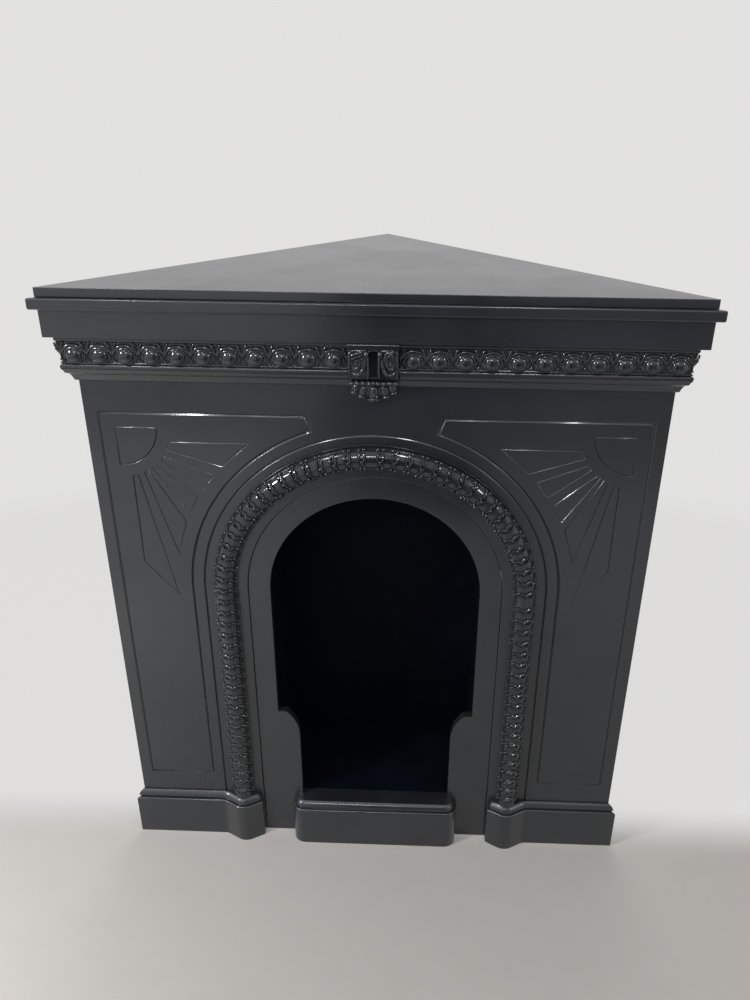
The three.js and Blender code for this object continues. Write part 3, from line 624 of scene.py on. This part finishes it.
def buildArchMoulding():
    look = archLook
    unit = flatUnit(bandUnit)
    outline = mouldingOutline()
    bm = bmesh.new()
    face = faceFrom(bm, [(radius, faceY - forward, springZ) for radius, forward in outline])
    bmesh.ops.spin(bm, geom=[face], cent=(0, faceY, springZ), axis=(0, -1, 0), angle=math.pi,
                   steps=look["crownSteps"], use_merge=False)
    bmesh.ops.recalc_face_normals(bm, faces=bm.faces)
    for i in range(look["crownBands"]):
        fromTop = (look["crownGap"] / 2 + look["crownPitch"] * i) / look["radius"]
        for side in (-1, 1):
            layOn(bm, unit, onCrown(math.radians(90 + look["crownTurn"]) + side * fromTop))
    finishPiece(bm, "ArchCrown", "arch_moulding_crown", "cast_ornament")

    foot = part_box("arch_moulding_leg_left")[0].z
    leg = bmesh.new()
    face = faceFrom(leg, [(-radius, faceY - forward, foot) for radius, forward in outline])
    pushOut(leg, [face], (0, 0, springZ - foot))
    bandZ = springZ - look["legStart"]
    while bandZ - look["bandWidth"] / 2 > foot:
        layOn(leg, unit, onLeg(bandZ))
        bandZ -= look["legPitch"]
    finishBothSides(leg, "ArchLeg", "arch_moulding_leg", "cast_ornament")


buildArchMoulding()
print("arch moulding built")


# corbel

corbelLook = {
    "cheek": 0.041, "channel": 0.0065, "capThick": 0.0085, "bandDrop": 0.0040, "back": 0.0143,
    "front": 0.034, "rimRound": 0.0016, "floorStep": 0.0033, "floorSteps": 21,
    "half": 0.042, "bandHalf": 0.0412,
    # plate and flat band under it, in millimetres: projection, height, rounding
    "cap": mm([(14.3, 0, 0), (36.5, 0, 1), (36.5, 8.5, 2.8), (14.3, 8.5, 0)]),
    "band": mm([(14.3, 0, 0), (33.5, 0, 0.6), (34.3, 4.5, 0.4), (14.3, 4.5, 0)]),
    # depth behind the foremost point, drop below the cap
    "scroll": mm([(4, 0), (1.4, 3), (0, 9), (1.5, 18), (6, 26), (8, 34), (6, 44), (6.6, 52), (12, 55.2),
                  (16, 57.2), (16.5, 66)]),
    # the same for the floor of the channel between the scrolls
    "channelFloor": mm([(13.5, 0), (13.5, 20), (11.8, 52.5), (12.4, 55), (16.4, 57.2), (16.8, 66)]),
    "leafRoot": 0.066, "rootFront": 0.0175, "lobeTop": 0.060,
    # across at the root, degrees outward, length, width, depth of each lobe of the leaf
    "lobes": [(0.0, 0, 0.0370, 0.0230, 0.0400), (0.0138, 13, 0.0330, 0.0200, 0.0370),
              (0.0255, 18, 0.0262, 0.0200, 0.0320)],
    "beadDrop": 0.0613, "beadOut": 0.0045, "beadFirst": 0.0075, "beadPitch": 0.0097, "beadCount": 4,
}


def between(points, at):
    # value of a list of (value, place) at a place, eased from each to the next
    if at <= points[0][1]:
        return points[0][0]
    for (valueA, placeA), (valueB, placeB) in zip(points, points[1:]):
        if at <= placeB:
            part = (at - placeA) / (placeB - placeA)
            return valueA + (valueB - valueA) * part * part * (3 - 2 * part)
    return points[-1][0]


def corbelSurface(drop):
    # how far the scrolls project at a given drop below the cap
    return corbelLook["front"] - between(corbelLook["scroll"], drop)


def scrollCarving(bm, leafy):
    # one scroll in (across, drop, out): a curl or leaf blades above, flutes below
    addDome(bm, 0.0112, 0.0078, 0.0016, 0.0096, 0.0132, 0.0120)
    ridges = mm([
        [(11.6, 2, 1.6, 2.8), (18, 1.4, 2.2, 3.2), (27, 1.2, 2.2, 3.2), (35, 2.2, 1.8, 2.8),
         (38.6, 8.4, 1, 2.4)],
        [(9.4, 13, 1, 2.4), (8.6, 22, 1, 2.2), (8.6, 40, 1, 2.2), (9.4, 51.5, 0.6, 1.8)],
        [(38.6, 8, 1, 2.2), (39.2, 31, 1.2, 2.3), (38.6, 51, 0.8, 1.9)],
        [(13.6, 18, 0.6, 2), (14.4, 30, 0.8, 3.4), (18, 40.5, 0.8, 3.8), (24.4, 46.5, 0.8, 3.8),
         (31, 46.5, 0.6, 3.2), (35.4, 40.5, 0.6, 2)],
        [(21.6, 20, 0.8, 1.6), (22.2, 29, 2, 2.8), (26, 36.2, 2.6, 3.1), (31.6, 36, 2.4, 3),
         (34.4, 29, 1.8, 2.6), (34.6, 21.5, 0.8, 1.6)],
    ])
    if leafy:
        ridges += mm([
            [(18.6, 5.6, 2.4, 2.1), (25.8, 6, 4.6, 3.6), (35, 9.8, 2, 1.7)],
            [(18.2, 10, 2.6, 2.1), (25.2, 12, 4.8, 3.6), (34.6, 16.2, 2, 1.7)],
            [(18.2, 14.4, 2.2, 2.1), (24.2, 18.2, 4, 3.2), (31.6, 22.2, 1.6, 1.5)],
            [(12.6, 17.2, 1.4, 1.8), (15.8, 11.2, 3.6, 3), (17.8, 15.2, 3, 2.6), (19, 21.6, 1.4, 1.5)],
        ])
    else:
        turns = [math.radians(50 + 38 * i) for i in range(15)]
        ridges.append(mm((26.6 + (8.6 - 0.38 * i) * math.cos(turn), 11.4 - (8.6 - 0.38 * i) * math.sin(turn),
                          3.4, 3.4 - 0.12 * i) for i, turn in enumerate(turns)))
        addDome(bm, 0.0266, 0.0114, 0.0020, 0.0060, 0.0060, 0.0100)
    addTubes(bm, ridges)
    addDome(bm, 0.0284, 0.0276, 0.0004, 0.0092, 0.0160, 0.0068)


def lobePoint(lobe, side, along, offset, lift):
    # a point on the swelling of a lobe: along runs from root to tip, offset is a share of its width
    root, degrees, length, width, depth = lobe
    turn = side * math.radians(degrees)
    swell = math.sqrt(max(1 - (2 * along - 1) ** 2, 0))
    sideways = offset * width * swell
    return (side * root + math.sin(turn) * length * along + math.cos(turn) * sideways,
            corbelLook["lobeTop"] + math.cos(turn) * length * along - math.sin(turn) * sideways,
            0.5 * depth * swell * math.sqrt(1 - 4 * offset * offset) + lift)


def leafCarving(bm):
    # the leaf under the scrolls in (across, drop, out): five lobes over a bowl, beads along its top
    look = corbelLook
    addDome(bm, 0, 0.0660, 0, 0.0780, 0.0560, 0.0320, rings=14, sides=28)
    for lobe in look["lobes"]:
        root, degrees, length, width, depth = lobe
        for side in ((1,) if root == 0 else (-1, 1)):
            turn = side * math.radians(degrees)
            middle = lobePoint(lobe, side, 0.5, 0, 0)
            addDome(bm, *middle[:2], 0, width, length, depth, turn=-turn, rings=14, sides=20)
            addTubes(bm, [[(*lobePoint(lobe, side, along, offset, -0.0003), size * (0.0012 + 0.0008 * along))
                           for along in (0.08, 0.25, 0.5, 0.75, 0.92)]
                          for offset, size in ((-0.31, 0.85), (0, 1.1), (0.31, 0.85))])
            tip = lobePoint(lobe, side, 0.90, 0, 0)
            addDome(bm, *tip, width * 0.62, 0.0084, 0.0090, turn=-turn)
    # two drops and a lip at the foot of the middle lobe
    for side in (-1, 1):
        addDome(bm, side * 0.0050, 0.0880, 0.0135, 0.0062, 0.0060, 0.0070)
    addTubes(bm, mm([[(-12.5, 92, 6, 1.2), (-7, 96, 10, 2.1), (0, 97.2, 11.2, 2.4), (7, 96, 10, 2.1),
                      (12.5, 92, 6, 1.2)]]))
    # scalloped bead row
    front = look["rootFront"] + look["beadOut"]
    addDome(bm, 0, look["beadDrop"], front, 0.0078, 0.0086, 0.0096)
    for side in (-1, 1):
        for i in range(look["beadCount"]):
            across = side * (look["beadFirst"] + look["beadPitch"] * i)
            addDome(bm, across, look["beadDrop"] + 0.0008, front, 0.0088, 0.0074, 0.0104)
            scallop = mm([(-4.6, 1.4, 1.6, 1.2), (-3.2, -3.4, 3, 1.6), (3.2, -3.4, 3, 1.6),
                          (4.6, 1.4, 1.6, 1.2)])
            addTubes(bm, [[(across + a, look["beadDrop"] + b, front + c, radius)
                           for a, b, c, radius in scallop]])


def buildCorbel():
    look = corbelLook
    back, half, channel = look["back"], look["half"], look["channel"]
    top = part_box("keystone_corbel")[1].z - look["capThick"]
    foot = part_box("bed_moulding_left")[1].z - fitGap - top
    bm = bmesh.new()
    # scroll bodies, one on each side of the channel
    side = [(back, -0.001, 0)]
    side += [(look["front"] - behind, -drop, 0) for behind, drop in look["scroll"]]
    side += [(fitGap, -look["leafRoot"], 0), (fitGap, foot, 0), (back, foot, 0)]
    for start, stop in ((-look["cheek"], -channel), (channel, look["cheek"])):
        body = runAcross(side, top, start, stop)
        rim = [edge for edge in body.edges
               if all(abs(abs(v.co.x) - look["cheek"]) < samePlace for v in edge.verts)
               and all(v.co.y < faceY - back - 0.0002 for v in edge.verts)]
        bevelEdges(body, rim, look["rimRound"])
        appendMesh(bm, body)
    # floor of the channel, coming forward as it falls
    inset = [(back, -0.001, 0)]
    inset += [(look["front"] - between(look["channelFloor"], drop), -drop, 0)
              for drop in [look["floorStep"] * step for step in range(look["floorSteps"])]]
    inset += [(fitGap, -look["leafRoot"] - fitGap, 0), (fitGap, foot, 0), (back, foot, 0)]
    appendMesh(bm, runAcross(inset, top, -channel - 0.001, channel + 0.001))
    appendMesh(bm, runAcross(look["cap"], top, -half, half))
    appendMesh(bm, runAcross(look["band"], top - look["bandDrop"], -look["bandHalf"], look["bandHalf"]))

    # the carving: leaf blades on the left scroll, a curl on the right one
    for sign in (-1, 1):
        carving = flatUnit(lambda part: scrollCarving(part, leafy=sign < 0))
        layOn(bm, carving, lambda across, drop, out: Vector(
            (sign * across, faceY - corbelSurface(drop) - out, top - drop)))
    layOn(bm, flatUnit(leafCarving), lambda across, drop, out: Vector(
        (across, faceY - fitGap - max(out, 0), top - drop)))
    finishPiece(bm, "Corbel", "keystone_corbel", "cast_ornament")


buildCorbel()
print("corbel built")


# front panel with its engraved lines

panelLook = {
    "archLine": 0.321, "foot": -0.03,
    # inset and drop of each step from the rim of a groove to its bottom
    "wideGroove": mm([(0.5, 0.1), (0.5, 0.4), (1.8, 1.9), (0.3, 0.15)]),
    "lineGroove": mm([(0.4, 0.1), (0.4, 0.35), (1.5, 1.6), (0.3, 0.12)]),
    "sunGroove": mm([(0.3, 0.08), (0.3, 0.27), (0.8, 1), (0.2, 0.1)]),
    "openingEdge": 0.0020, "borderSide": 0.024, "borderTop": 0.0575, "borderFoot": 0.052,
    "borderArc": 0.344, "borderTopEnd": 0.120, "borderSlant": 0.010,
    "sunInset": 0.026, "sunRadius": 0.072, "rayStart": 0.096, "rayMargin": 0.028, "rayLastDrop": 0.269,
    # each ray: its two edges in degrees below level at the sun, then at the outer end
    "rays": [((16.0, 25.5), (6.5, 21.7)), ((34.3, 40.2), (28.1, 39.2)), ((49.2, 54.1), (45.3, 55.3)),
             ((59.0, 64.4), (59.9, 70.9)), ((72.0, 77.9), (77.1, 85.8))],
}
grooveHalf = {name: sum(step for step, drop in panelLook[name]) for name in
              ("wideGroove", "lineGroove", "sunGroove")}
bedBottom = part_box("bed_moulding_left")[0].z
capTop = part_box("plinth_cap_left")[1].z


def grown(points, distance):
    # the outline moved outward by a distance, corners kept sharp
    area = sum(a[0] * b[1] - b[0] * a[1] for a, b in zip(points, points[1:] + points[:1]))
    turned = 1 if area > 0 else -1
    result = []
    for i, point in enumerate(points):
        before, after = Vector(points[i - 1]), Vector(points[(i + 1) % len(points)])
        here = Vector(point)
        entering, leaving = (here - before).normalized(), (after - here).normalized()
        normalIn = Vector((entering.y, -entering.x)) * turned
        normalOut = Vector((leaving.y, -leaving.x)) * turned
        middle = (normalIn + normalOut).normalized()
        # very sharp corners reach at most five times the distance
        result.append(tuple(here + middle * distance / max(middle.dot(normalIn), 0.2)))
    return result


def archOutline(radius, foot):
    return [(radius, foot)] + arcPoints(0, springZ, radius, 0, 180, arcSteps) + [(-radius, foot)]


def borderOutline():
    look = panelLook
    left = look["borderSide"] - halfWidth
    top = bedBottom - look["borderTop"]
    foot = capTop + look["borderFoot"]
    slantX = look["borderTopEnd"] - look["borderSlant"]
    arcEnd = 180 - math.degrees(math.acos(slantX / look["borderArc"]))
    arc = arcPoints(0, springZ, look["borderArc"], 180, arcEnd, 40)
    return [(left, top), (left, foot), (-look["borderArc"], foot)] + arc + [(-look["borderTopEnd"], top)]


def sunCentre():
    look = panelLook
    return (look["borderSide"] + look["sunInset"] - halfWidth,
            bedBottom - look["borderTop"] - look["sunInset"])


def fromSun(degrees, distance):
    x, z = sunCentre()
    return (x + distance * math.cos(math.radians(degrees)), z - distance * math.sin(math.radians(degrees)))


def onRayLimit(degrees):
    # where a ray at that angle meets the circle that ends the rays
    x, z = sunCentre()
    across, down = math.cos(math.radians(degrees)), -math.sin(math.radians(degrees))
    height = z - springZ
    reach = panelLook["borderArc"] + panelLook["rayMargin"]
    b = x * across + height * down
    c = x * x + height * height - reach * reach
    return fromSun(degrees, -b - math.sqrt(max(b * b - c, 0)))


def sunOutlines():
    look = panelLook
    x, z = sunCentre()
    outlines = [[(x, z)] + arcPoints(x, z, look["sunRadius"], -90, 0, 20)]
    for i, (inner, outer) in enumerate(look["rays"]):
        last = i == len(look["rays"]) - 1
        farEnd = fromSun(outer[1], look["rayLastDrop"]) if last else onRayLimit(outer[1])
        outlines.append([fromSun(inner[0], look["rayStart"]), fromSun(inner[1], look["rayStart"]),
                         farEnd, onRayLimit(outer[0])])
    return outlines


def engrave(bm, outline, kind):
    # a V groove along an outline; gives its outer edges and the face left inside it
    known = set(bm.edges)
    rim = grown(outline, grooveHalf[kind])
    face = faceFrom(bm, [(x, faceY, z) for x, z in rim])
    face.normal_update()
    if face.normal.y > 0:
        face.normal_flip()
    steps = panelLook[kind]
    profile = [(step, -drop) for step, drop in steps] + [(step, drop) for step, drop in reversed(steps)]
    for step, drop in profile:
        bmesh.ops.inset_region(bm, faces=[face], thickness=step, depth=drop, use_boundary=True,
                               use_even_offset=True)
    return [edge for edge in bm.edges if edge.is_boundary and edge not in known], face


def openFace(bm, face):
    edges = face.edges[:]
    bmesh.ops.delete(bm, geom=[face], context="FACES_ONLY")
    return edges


def fillFlat(bm, edges):
    bmesh.ops.triangle_fill(bm, use_beauty=True, use_dissolve=False, edges=edges, normal=(0, -1, 0))


def foldedEdges(bm, chosen):
    # edges where two faces meet at a sharp fold, and both ends are chosen
    return [edge for edge in bm.edges if len(edge.link_faces) == 2 and edge.calc_face_angle(0) > 1.2
            and all(chosen(vert) for vert in edge.verts)]


def onOpening(bm, y, radius):
    # front edges that follow the joint between the panel and the insert
    def follows(vert):
        reach = math.hypot(vert.co.x, max(vert.co.z - springZ, 0))
        return abs(vert.co.y - y) < samePlace and abs(reach - radius) < 0.0002
    return foldedEdges(bm, follows)


def buildFrontPanel():
    look = panelLook
    bm = bmesh.new()
    outside = loopAt(bm, [(side * halfWidth, faceY, z) for side, z in (
        (-1, look["foot"]), (1, look["foot"]), (1, panelHigh.z), (-1, panelHigh.z))])
    archCut = loopAt(bm, [(x, faceY, z) for x, z in archOutline(insertRadius + fitGap, look["foot"] / 3)])
    lineRim, lineFace = engrave(bm, archOutline(look["archLine"], look["foot"] / 2), "lineGroove")
    fieldEdges = outside + lineRim
    for sign in (-1, 1):
        border = [(sign * -x, z) for x, z in borderOutline()]
        borderRim, borderFace = engrave(bm, border, "wideGroove")
        fieldEdges += borderRim
        insideBorder = openFace(bm, borderFace)
        for outline in sunOutlines():
            insideBorder += engrave(bm, [(sign * -x, z) for x, z in outline], "sunGroove")[0]
        fillFlat(bm, insideBorder)
    fillFlat(bm, fieldEdges)
    fillFlat(bm, openFace(bm, lineFace) + archCut)
    bmesh.ops.remove_doubles(bm, verts=bm.verts, dist=weld)
    made = bmesh.ops.extrude_edge_only(bm, edges=[edge for edge in bm.edges if edge.is_boundary])
    bmesh.ops.translate(bm, verts=vertsIn(made), vec=(0, panelHigh.y - panelLow.y, 0))
    fillFlat(bm, [edge for edge in bm.edges if edge.is_boundary])
    bmesh.ops.recalc_face_normals(bm, faces=bm.faces)
    bevelEdges(bm, onOpening(bm, faceY, insertRadius + fitGap), look["openingEdge"])
    trimToWalls(bm)
    cutAway(bm, (0, 0, 0), (0, 0, -1))
    finishPiece(bm, "FrontPanel", "front_panel", sharpAngle=60)


buildFrontPanel()
print("front panel built")


# insert panel

insertLook = {
    "opening": 0.198, "shoulderZ": 0.333, "shoulderStep": 0.017, "shoulderRadius": 0.084,
    "throat": 0.1555, "edge": 0.0009, "outerEdge": 0.0022,
}


def openingOutline(foot):
    look = insertLook
    sweep = math.degrees(math.acos(1 - (look["opening"] - look["shoulderStep"] - look["throat"])
                                   / look["shoulderRadius"]))
    arcX = look["throat"] + look["shoulderRadius"]
    arcZ = look["shoulderZ"] - look["shoulderRadius"] * math.sin(math.radians(sweep))
    rise = arcPoints(arcX, arcZ, look["shoulderRadius"], 180, 180 - sweep, 8)
    crown = arcPoints(0, springZ, look["opening"], 0, 180, arcSteps)
    fall = arcPoints(-arcX, arcZ, look["shoulderRadius"], sweep, 0, 8)
    return ([(-look["throat"], foot), (look["throat"], foot)] + rise + [(look["opening"], look["shoulderZ"])]
            + crown + [(-look["opening"], look["shoulderZ"])] + fall)


def buildInsertPanel():
    low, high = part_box("insert_panel")
    look = insertLook
    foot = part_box("firebox_floor")[1].z
    bm = bmesh.new()
    outside = loopAt(bm, [(x, low.y, z) for x, z in archOutline(high.x, 0)])
    inside = loopAt(bm, [(x, low.y, z) for x, z in openingOutline(foot)])
    fillFlat(bm, outside + inside)
    pushOut(bm, bm.faces[:], (0, high.y - low.y, 0))
    bevelEdges(bm, onOpening(bm, low.y, high.x), look["outerEdge"])
    bevelEdges(bm, foldedEdges(bm, lambda vert: abs(vert.co.y - low.y) < weld), look["edge"])
    finishPiece(bm, "InsertPanel", "insert_panel")


buildInsertPanel()
print("insert panel built")


# plinths, hearth block and their caps

baseLook = {
    "front": 0.014, "bulge": 0.033, "bulgeRadius": 0.030, "bulgeAngle": 30, "blend": 0.022,
    "noseX": 0.281, "inner": 0.241, "endCorner": 0.0012, "behind": 0.1, "blockHalf": 0.175,
    "blockFront": 0.033, "blockCorner": 0.025,
    # inset from the foot's face and height above its lower edge
    "foot": mm([(0.6, 0), (0, 0.6), (0, 91.2), (0.4, 92.8), (1.4, 94.2), (3, 94.9), (4.6, 95)]),
    "cap": mm([(6.4, 0), (6.4, 3.6), (5, 4), (4.2, 4.8), (4.2, 6.6), (5, 9), (6.6, 11.6), (8.8, 13.8),
               (10.8, 15), (11.8, 15.8), (12.2, 16)]),
}


def plinthPlan(inset):
    # plan of the left plinth: front face, hollow blend, nose, and the end beside the insert
    look = baseLook
    tilt = math.radians(look["bulgeAngle"])
    front = look["front"] - inset
    bow = look["bulgeRadius"] - inset
    centre = look["bulge"] - look["bulgeRadius"]
    noseX, noseP = bow * math.sin(tilt), centre + bow * math.cos(tilt)
    blend = look["blend"] + inset
    # the blend is tangent to the front face and to the flank of the nose
    footX = noseX + (noseP - front) / math.tan(tilt)
    blendX = footX + blend * math.tan(tilt / 2)
    hollow = arcPoints(-look["noseX"] - blendX, -(front + blend), blend, 90, 90 - look["bulgeAngle"], 6)
    nose = arcPoints(-look["noseX"], -centre, bow, -90 - look["bulgeAngle"], -90 + look["bulgeAngle"], 14)
    endX = -look["inner"] - inset
    endP = noseP - (endX + look["noseX"] - noseX) * math.tan(tilt)
    wide, behind, corner = halfWidth + look["behind"], look["behind"], look["endCorner"]
    return ([(-wide, behind), (-wide, -front)] + hollow + nose
            + [(endX - corner, -endP - corner * math.tan(tilt)), (endX, -endP + corner), (endX, behind)])


def blockPlan(inset):
    look = baseLook
    half = look["blockHalf"] - inset
    front = look["blockFront"] - inset
    corner = look["blockCorner"] - inset
    left = arcPoints(corner - half, corner - front, corner, 180, 270, 12)
    right = arcPoints(half - corner, corner - front, corner, 270, 360, 12)
    return [(-half, look["behind"])] + left + right + [(half, look["behind"])]


def stackedPlan(plan, levels, lowZ, backY):
    # loops of the plan at each level, joined upward and closed, then cut at its back and the walls
    bm = bmesh.new()
    loops = [loopAt(bm, [(x, faceY + y, lowZ + z) for x, y in plan(inset)]) for inset, z in levels]
    for lower, upper in zip(loops, loops[1:]):
        bmesh.ops.bridge_loops(bm, edges=lower + upper)
    for loop in (loops[0], loops[-1]):
        bmesh.ops.contextual_create(bm, geom=loop)
    bmesh.ops.recalc_face_normals(bm, faces=bm.faces)
    cutAway(bm, (0, backY, 0), (0, 1, 0))
    trimToWalls(bm)
    return bm


def buildBase():
    look = baseLook
    for levels, name, plinthNode, blockNode in (
            (look["foot"], "", "plinth", "hearth_block"),
            (look["cap"], "Cap", "plinth_cap", "hearth_block_cap")):
        plinth = stackedPlan(plinthPlan, levels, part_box(plinthNode + "_left")[0].z, faceY)
        finishBothSides(plinth, "Plinth" + name, plinthNode)
        low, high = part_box(blockNode)
        block = stackedPlan(blockPlan, levels, low.z, high.y)
        finishPiece(block, "HearthBlock" + name, blockNode)


buildBase()
print("base built")


# timber, board and steel that keep their solids

def dress(prefix, material):
    for name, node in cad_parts.items():
        if name.startswith(prefix):
            node.data.materials.clear()
            node.data.materials.append(material)


for prefix, material in (
        ("frieze_board", lacquer), ("firebox", fireboxPaint), ("firebox_floor_cleat", frontToBack),
        ("front_stile", upright), ("rear_corner_post", upright), ("insert_cleat", upright),
        ("insert_cleat_crown", acrossFront), ("shelf_front_batten", acrossFront),
        ("shelf_centre_batten", frontToBack), ("shelf_bracket", zinc), ("rail_screw", zinc),
        ("shelf_screw", zinc)):
    dress(prefix, material)
for level in ("top", "middle", "bottom"):
    dress("wall_rail_" + level + "_left", alongLeft)
    dress("wall_rail_" + level + "_right", alongRight)
print("frame dressed")


# floor, light and camera

stageLook = {
    "floorSize": 14.0, "floorColor": (0.42, 0.402, 0.384), "fadeBack": (-0.27, -0.12, 0, 0.92),
    "frontCentre": (0, -1.6, 0), "fadeFront": (1.75, 3.4),
    "worldLight": 0.42, "worldSeen": 0.76, "worldColor": (1, 0.995, 0.985, 1),
    "camera": (0.0784, faceY - 1.3778, 1.5163), "yaw": 0.0304, "tilt": 0.465395, "roll": -0.010664,
    "lens": 31.14, "shift": -0.02,
    # glowing cards seen only in reflections, painting a dark reflection in front of the camera and pale
    # reflections to its sides: name, centre, width and height, width of its soft edge, grey of the painted
    # reflection
    "reflectionCards": [
        ("Dark reflection card", (0.06, -1.70, 0.58), (0.78, 1.70), 0.24, 0.004),
        ("Grey reflection card", (0.95, -1.74, 0.85), (1.80, 1.20), 0.30, 0.22),
        ("Left reflection card", (-0.82, -1.10, 0.20), (1.16, 1.00), 0.20, 0.74),
        ("Right reflection card", (0.95, -1.10, 0.10), (1.25, 0.90), 0.20, 0.54)],
    # name, place, target, size, power, whether the gloss mirrors it
    "lamps": [
        ("Left window", (-2.0, -1.4, 1.9), (-0.3, -0.3, 0.6), (0.30, 0.46), 34, True),
        ("Left fill", (-1.35, -1.15, 0.45), (-0.3, -0.25, 0.4), (0.6, 0.5), 13, False),
        ("Right fill", (1.5, -1.3, 0.45), (0.3, -0.25, 0.4), (0.6, 0.5), 4, False),
        ("Right window", (2.5, -1.6, 2.2), (0.1, -0.2, 0.8), (0.24, 0.34), 9, True),
        ("Ceiling left", (-0.9, -0.95, 2.5), (-0.4, -0.3, 1.0), (0.2, 0.2), 6, True),
        ("Ceiling right", (0.4, -0.9, 2.5), (0.1, -0.3, 1.0), (0.2, 0.2), 5, True),
        ("Front ceiling", (-0.35, -2.5, 2.35), (0, -0.3, 0.9), (0.6, 0.1), 9, True),
        ("Back light", (0.2, 2.4, 2.2), (0, 0, 0.7), (2.0, 1.4), 20, False)],
}


def seenRay(tree):
    # 1 for rays seen by the camera, in a reflection or through glass
    path = tree.nodes.new("ShaderNodeLightPath").outputs
    direct = maths(tree, "MAXIMUM", path["Is Camera Ray"], path["Is Glossy Ray"])
    return maths(tree, "MAXIMUM", direct, path["Is Transmission Ray"])


def showMix(tree, share, first, second):
    mixed = addNode(tree, "MixShader", "Shader", {0: share, 1: first, 2: second})
    fill(tree, tree.nodes["Material Output"], {"Surface": mixed})


def stageSheet(name, size, material, centre=(0, 0, 0), tilt=0):
    bm = bmesh.new()
    bmesh.ops.create_grid(bm, x_segments=1, y_segments=1, size=0.5)
    bmesh.ops.scale(bm, vec=(*size, 1), verts=bm.verts)
    bmesh.ops.rotate(bm, cent=(0, 0, 0), matrix=Matrix.Rotation(math.radians(tilt), 3, "X"), verts=bm.verts)
    bmesh.ops.translate(bm, vec=centre, verts=bm.verts)
    sheet = addObject(name, meshFrom(bm, name, material))
    return sheet


def buildFloor():
    look = stageLook
    material, tree, shader, place = startMaterial("studio floor")
    speckle = useEffect(tree, "speckle", Position=place["Object"], Scale=9.0)["Speckle"]
    darker = [0.96 * part for part in look["floorColor"]]
    fill(tree, shader, {"Base Color": blend(tree, speckle, darker, look["floorColor"]),
                        "Roughness": 0.6, "Specular IOR Level": 0.2})
    # behind the part, and far in front, the floor is seen as pale as the background
    behind = remap(tree, axisOf(tree, place["Object"], "Y"), *look["fadeBack"])
    away = addNode(tree, "VectorMath", "Value", {0: place["Object"], 1: look["frontCentre"]},
                   operation="DISTANCE")
    fade = maths(tree, "MAXIMUM", behind, remap(tree, away, *look["fadeFront"]))
    pale = addNode(tree, "Emission", "Emission",
                   {"Color": look["worldColor"], "Strength": look["worldSeen"]})
    showMix(tree, maths(tree, "MULTIPLY", fade, seenRay(tree)), shader.outputs["BSDF"], pale)
    stageSheet("Floor", (look["floorSize"], look["floorSize"]), material)


def paintedReflectionCard(name, centre, size, edge, reflectedGrey):
    # a glowing card beside the camera that only the gloss mirrors: a painted reflection, fading out at its
    # edges
    material, tree, _, place = startMaterial(name)
    fades = []
    for axis, middle, length in (("X", centre[0], size[0]), ("Z", centre[2], size[1])):
        offset = maths(tree, "SUBTRACT", axisOf(tree, place["Object"], axis), middle)
        fades.append(remap(tree, maths(tree, "ABSOLUTE", offset), length / 2, length / 2 - edge))
    # the glow is the painted reflection, dark or pale, that the gloss picks up
    tone = addNode(tree, "Emission", "Emission", {"Color": (reflectedGrey, reflectedGrey, reflectedGrey * 1.04)})
    clear = tree.nodes.new("ShaderNodeBsdfTransparent").outputs["BSDF"]
    showMix(tree, maths(tree, "MULTIPLY", *fades), clear, tone)
    card = stageSheet(name, size, material, centre, tilt=90)
    for kind in ("camera", "diffuse", "shadow", "transmission", "volume_scatter"):
        setattr(card, "visible_" + kind, False)


def softLamp(name, place, target, size, power, mirrored):
    data = bpy.data.lights.new(name, "AREA")
    data.shape = "RECTANGLE"
    data.size, data.size_y = size
    data.energy = power
    lamp = addObject(name, data)
    lamp.location = place
    lamp.rotation_euler = (Vector(target) - Vector(place)).to_track_quat("-Z", "Y").to_euler()
    lamp.visible_glossy = mirrored
    lamp.visible_camera = False


def buildWorld():
    world = bpy.data.worlds.new("studio")
    world.use_nodes = True
    scene.world = world
    tree = world.node_tree
    strength = remap(tree, seenRay(tree), 0.0, 1.0, stageLook["worldLight"], stageLook["worldSeen"],
                     smooth=False)
    fill(tree, tree.nodes["Background"], {"Strength": strength, "Color": stageLook["worldColor"]})


def buildCamera():
    look = stageLook
    data = bpy.data.cameras.new("Camera")
    data.sensor_width = 36
    data.lens = look["lens"]
    data.shift_x = look["shift"]
    camera = addObject("Camera", data)
    turn = (Matrix.Rotation(look["yaw"], 4, "Z") @ Matrix.Rotation(-look["tilt"], 4, "X")
            @ Matrix.Rotation(look["roll"], 4, "Y") @ Matrix.Rotation(math.radians(90), 4, "X"))
    camera.matrix_world = Matrix.Translation(look["camera"]) @ turn
    scene.camera = camera


buildFloor()
buildWorld()
# painted reflections on the lacquer and castings
for card in stageLook["reflectionCards"]:
    paintedReflectionCard(*card)
for lamp in stageLook["lamps"]:
    softLamp(*lamp)
buildCamera()
scene.view_settings.view_transform = "Standard"
print("stage ready")
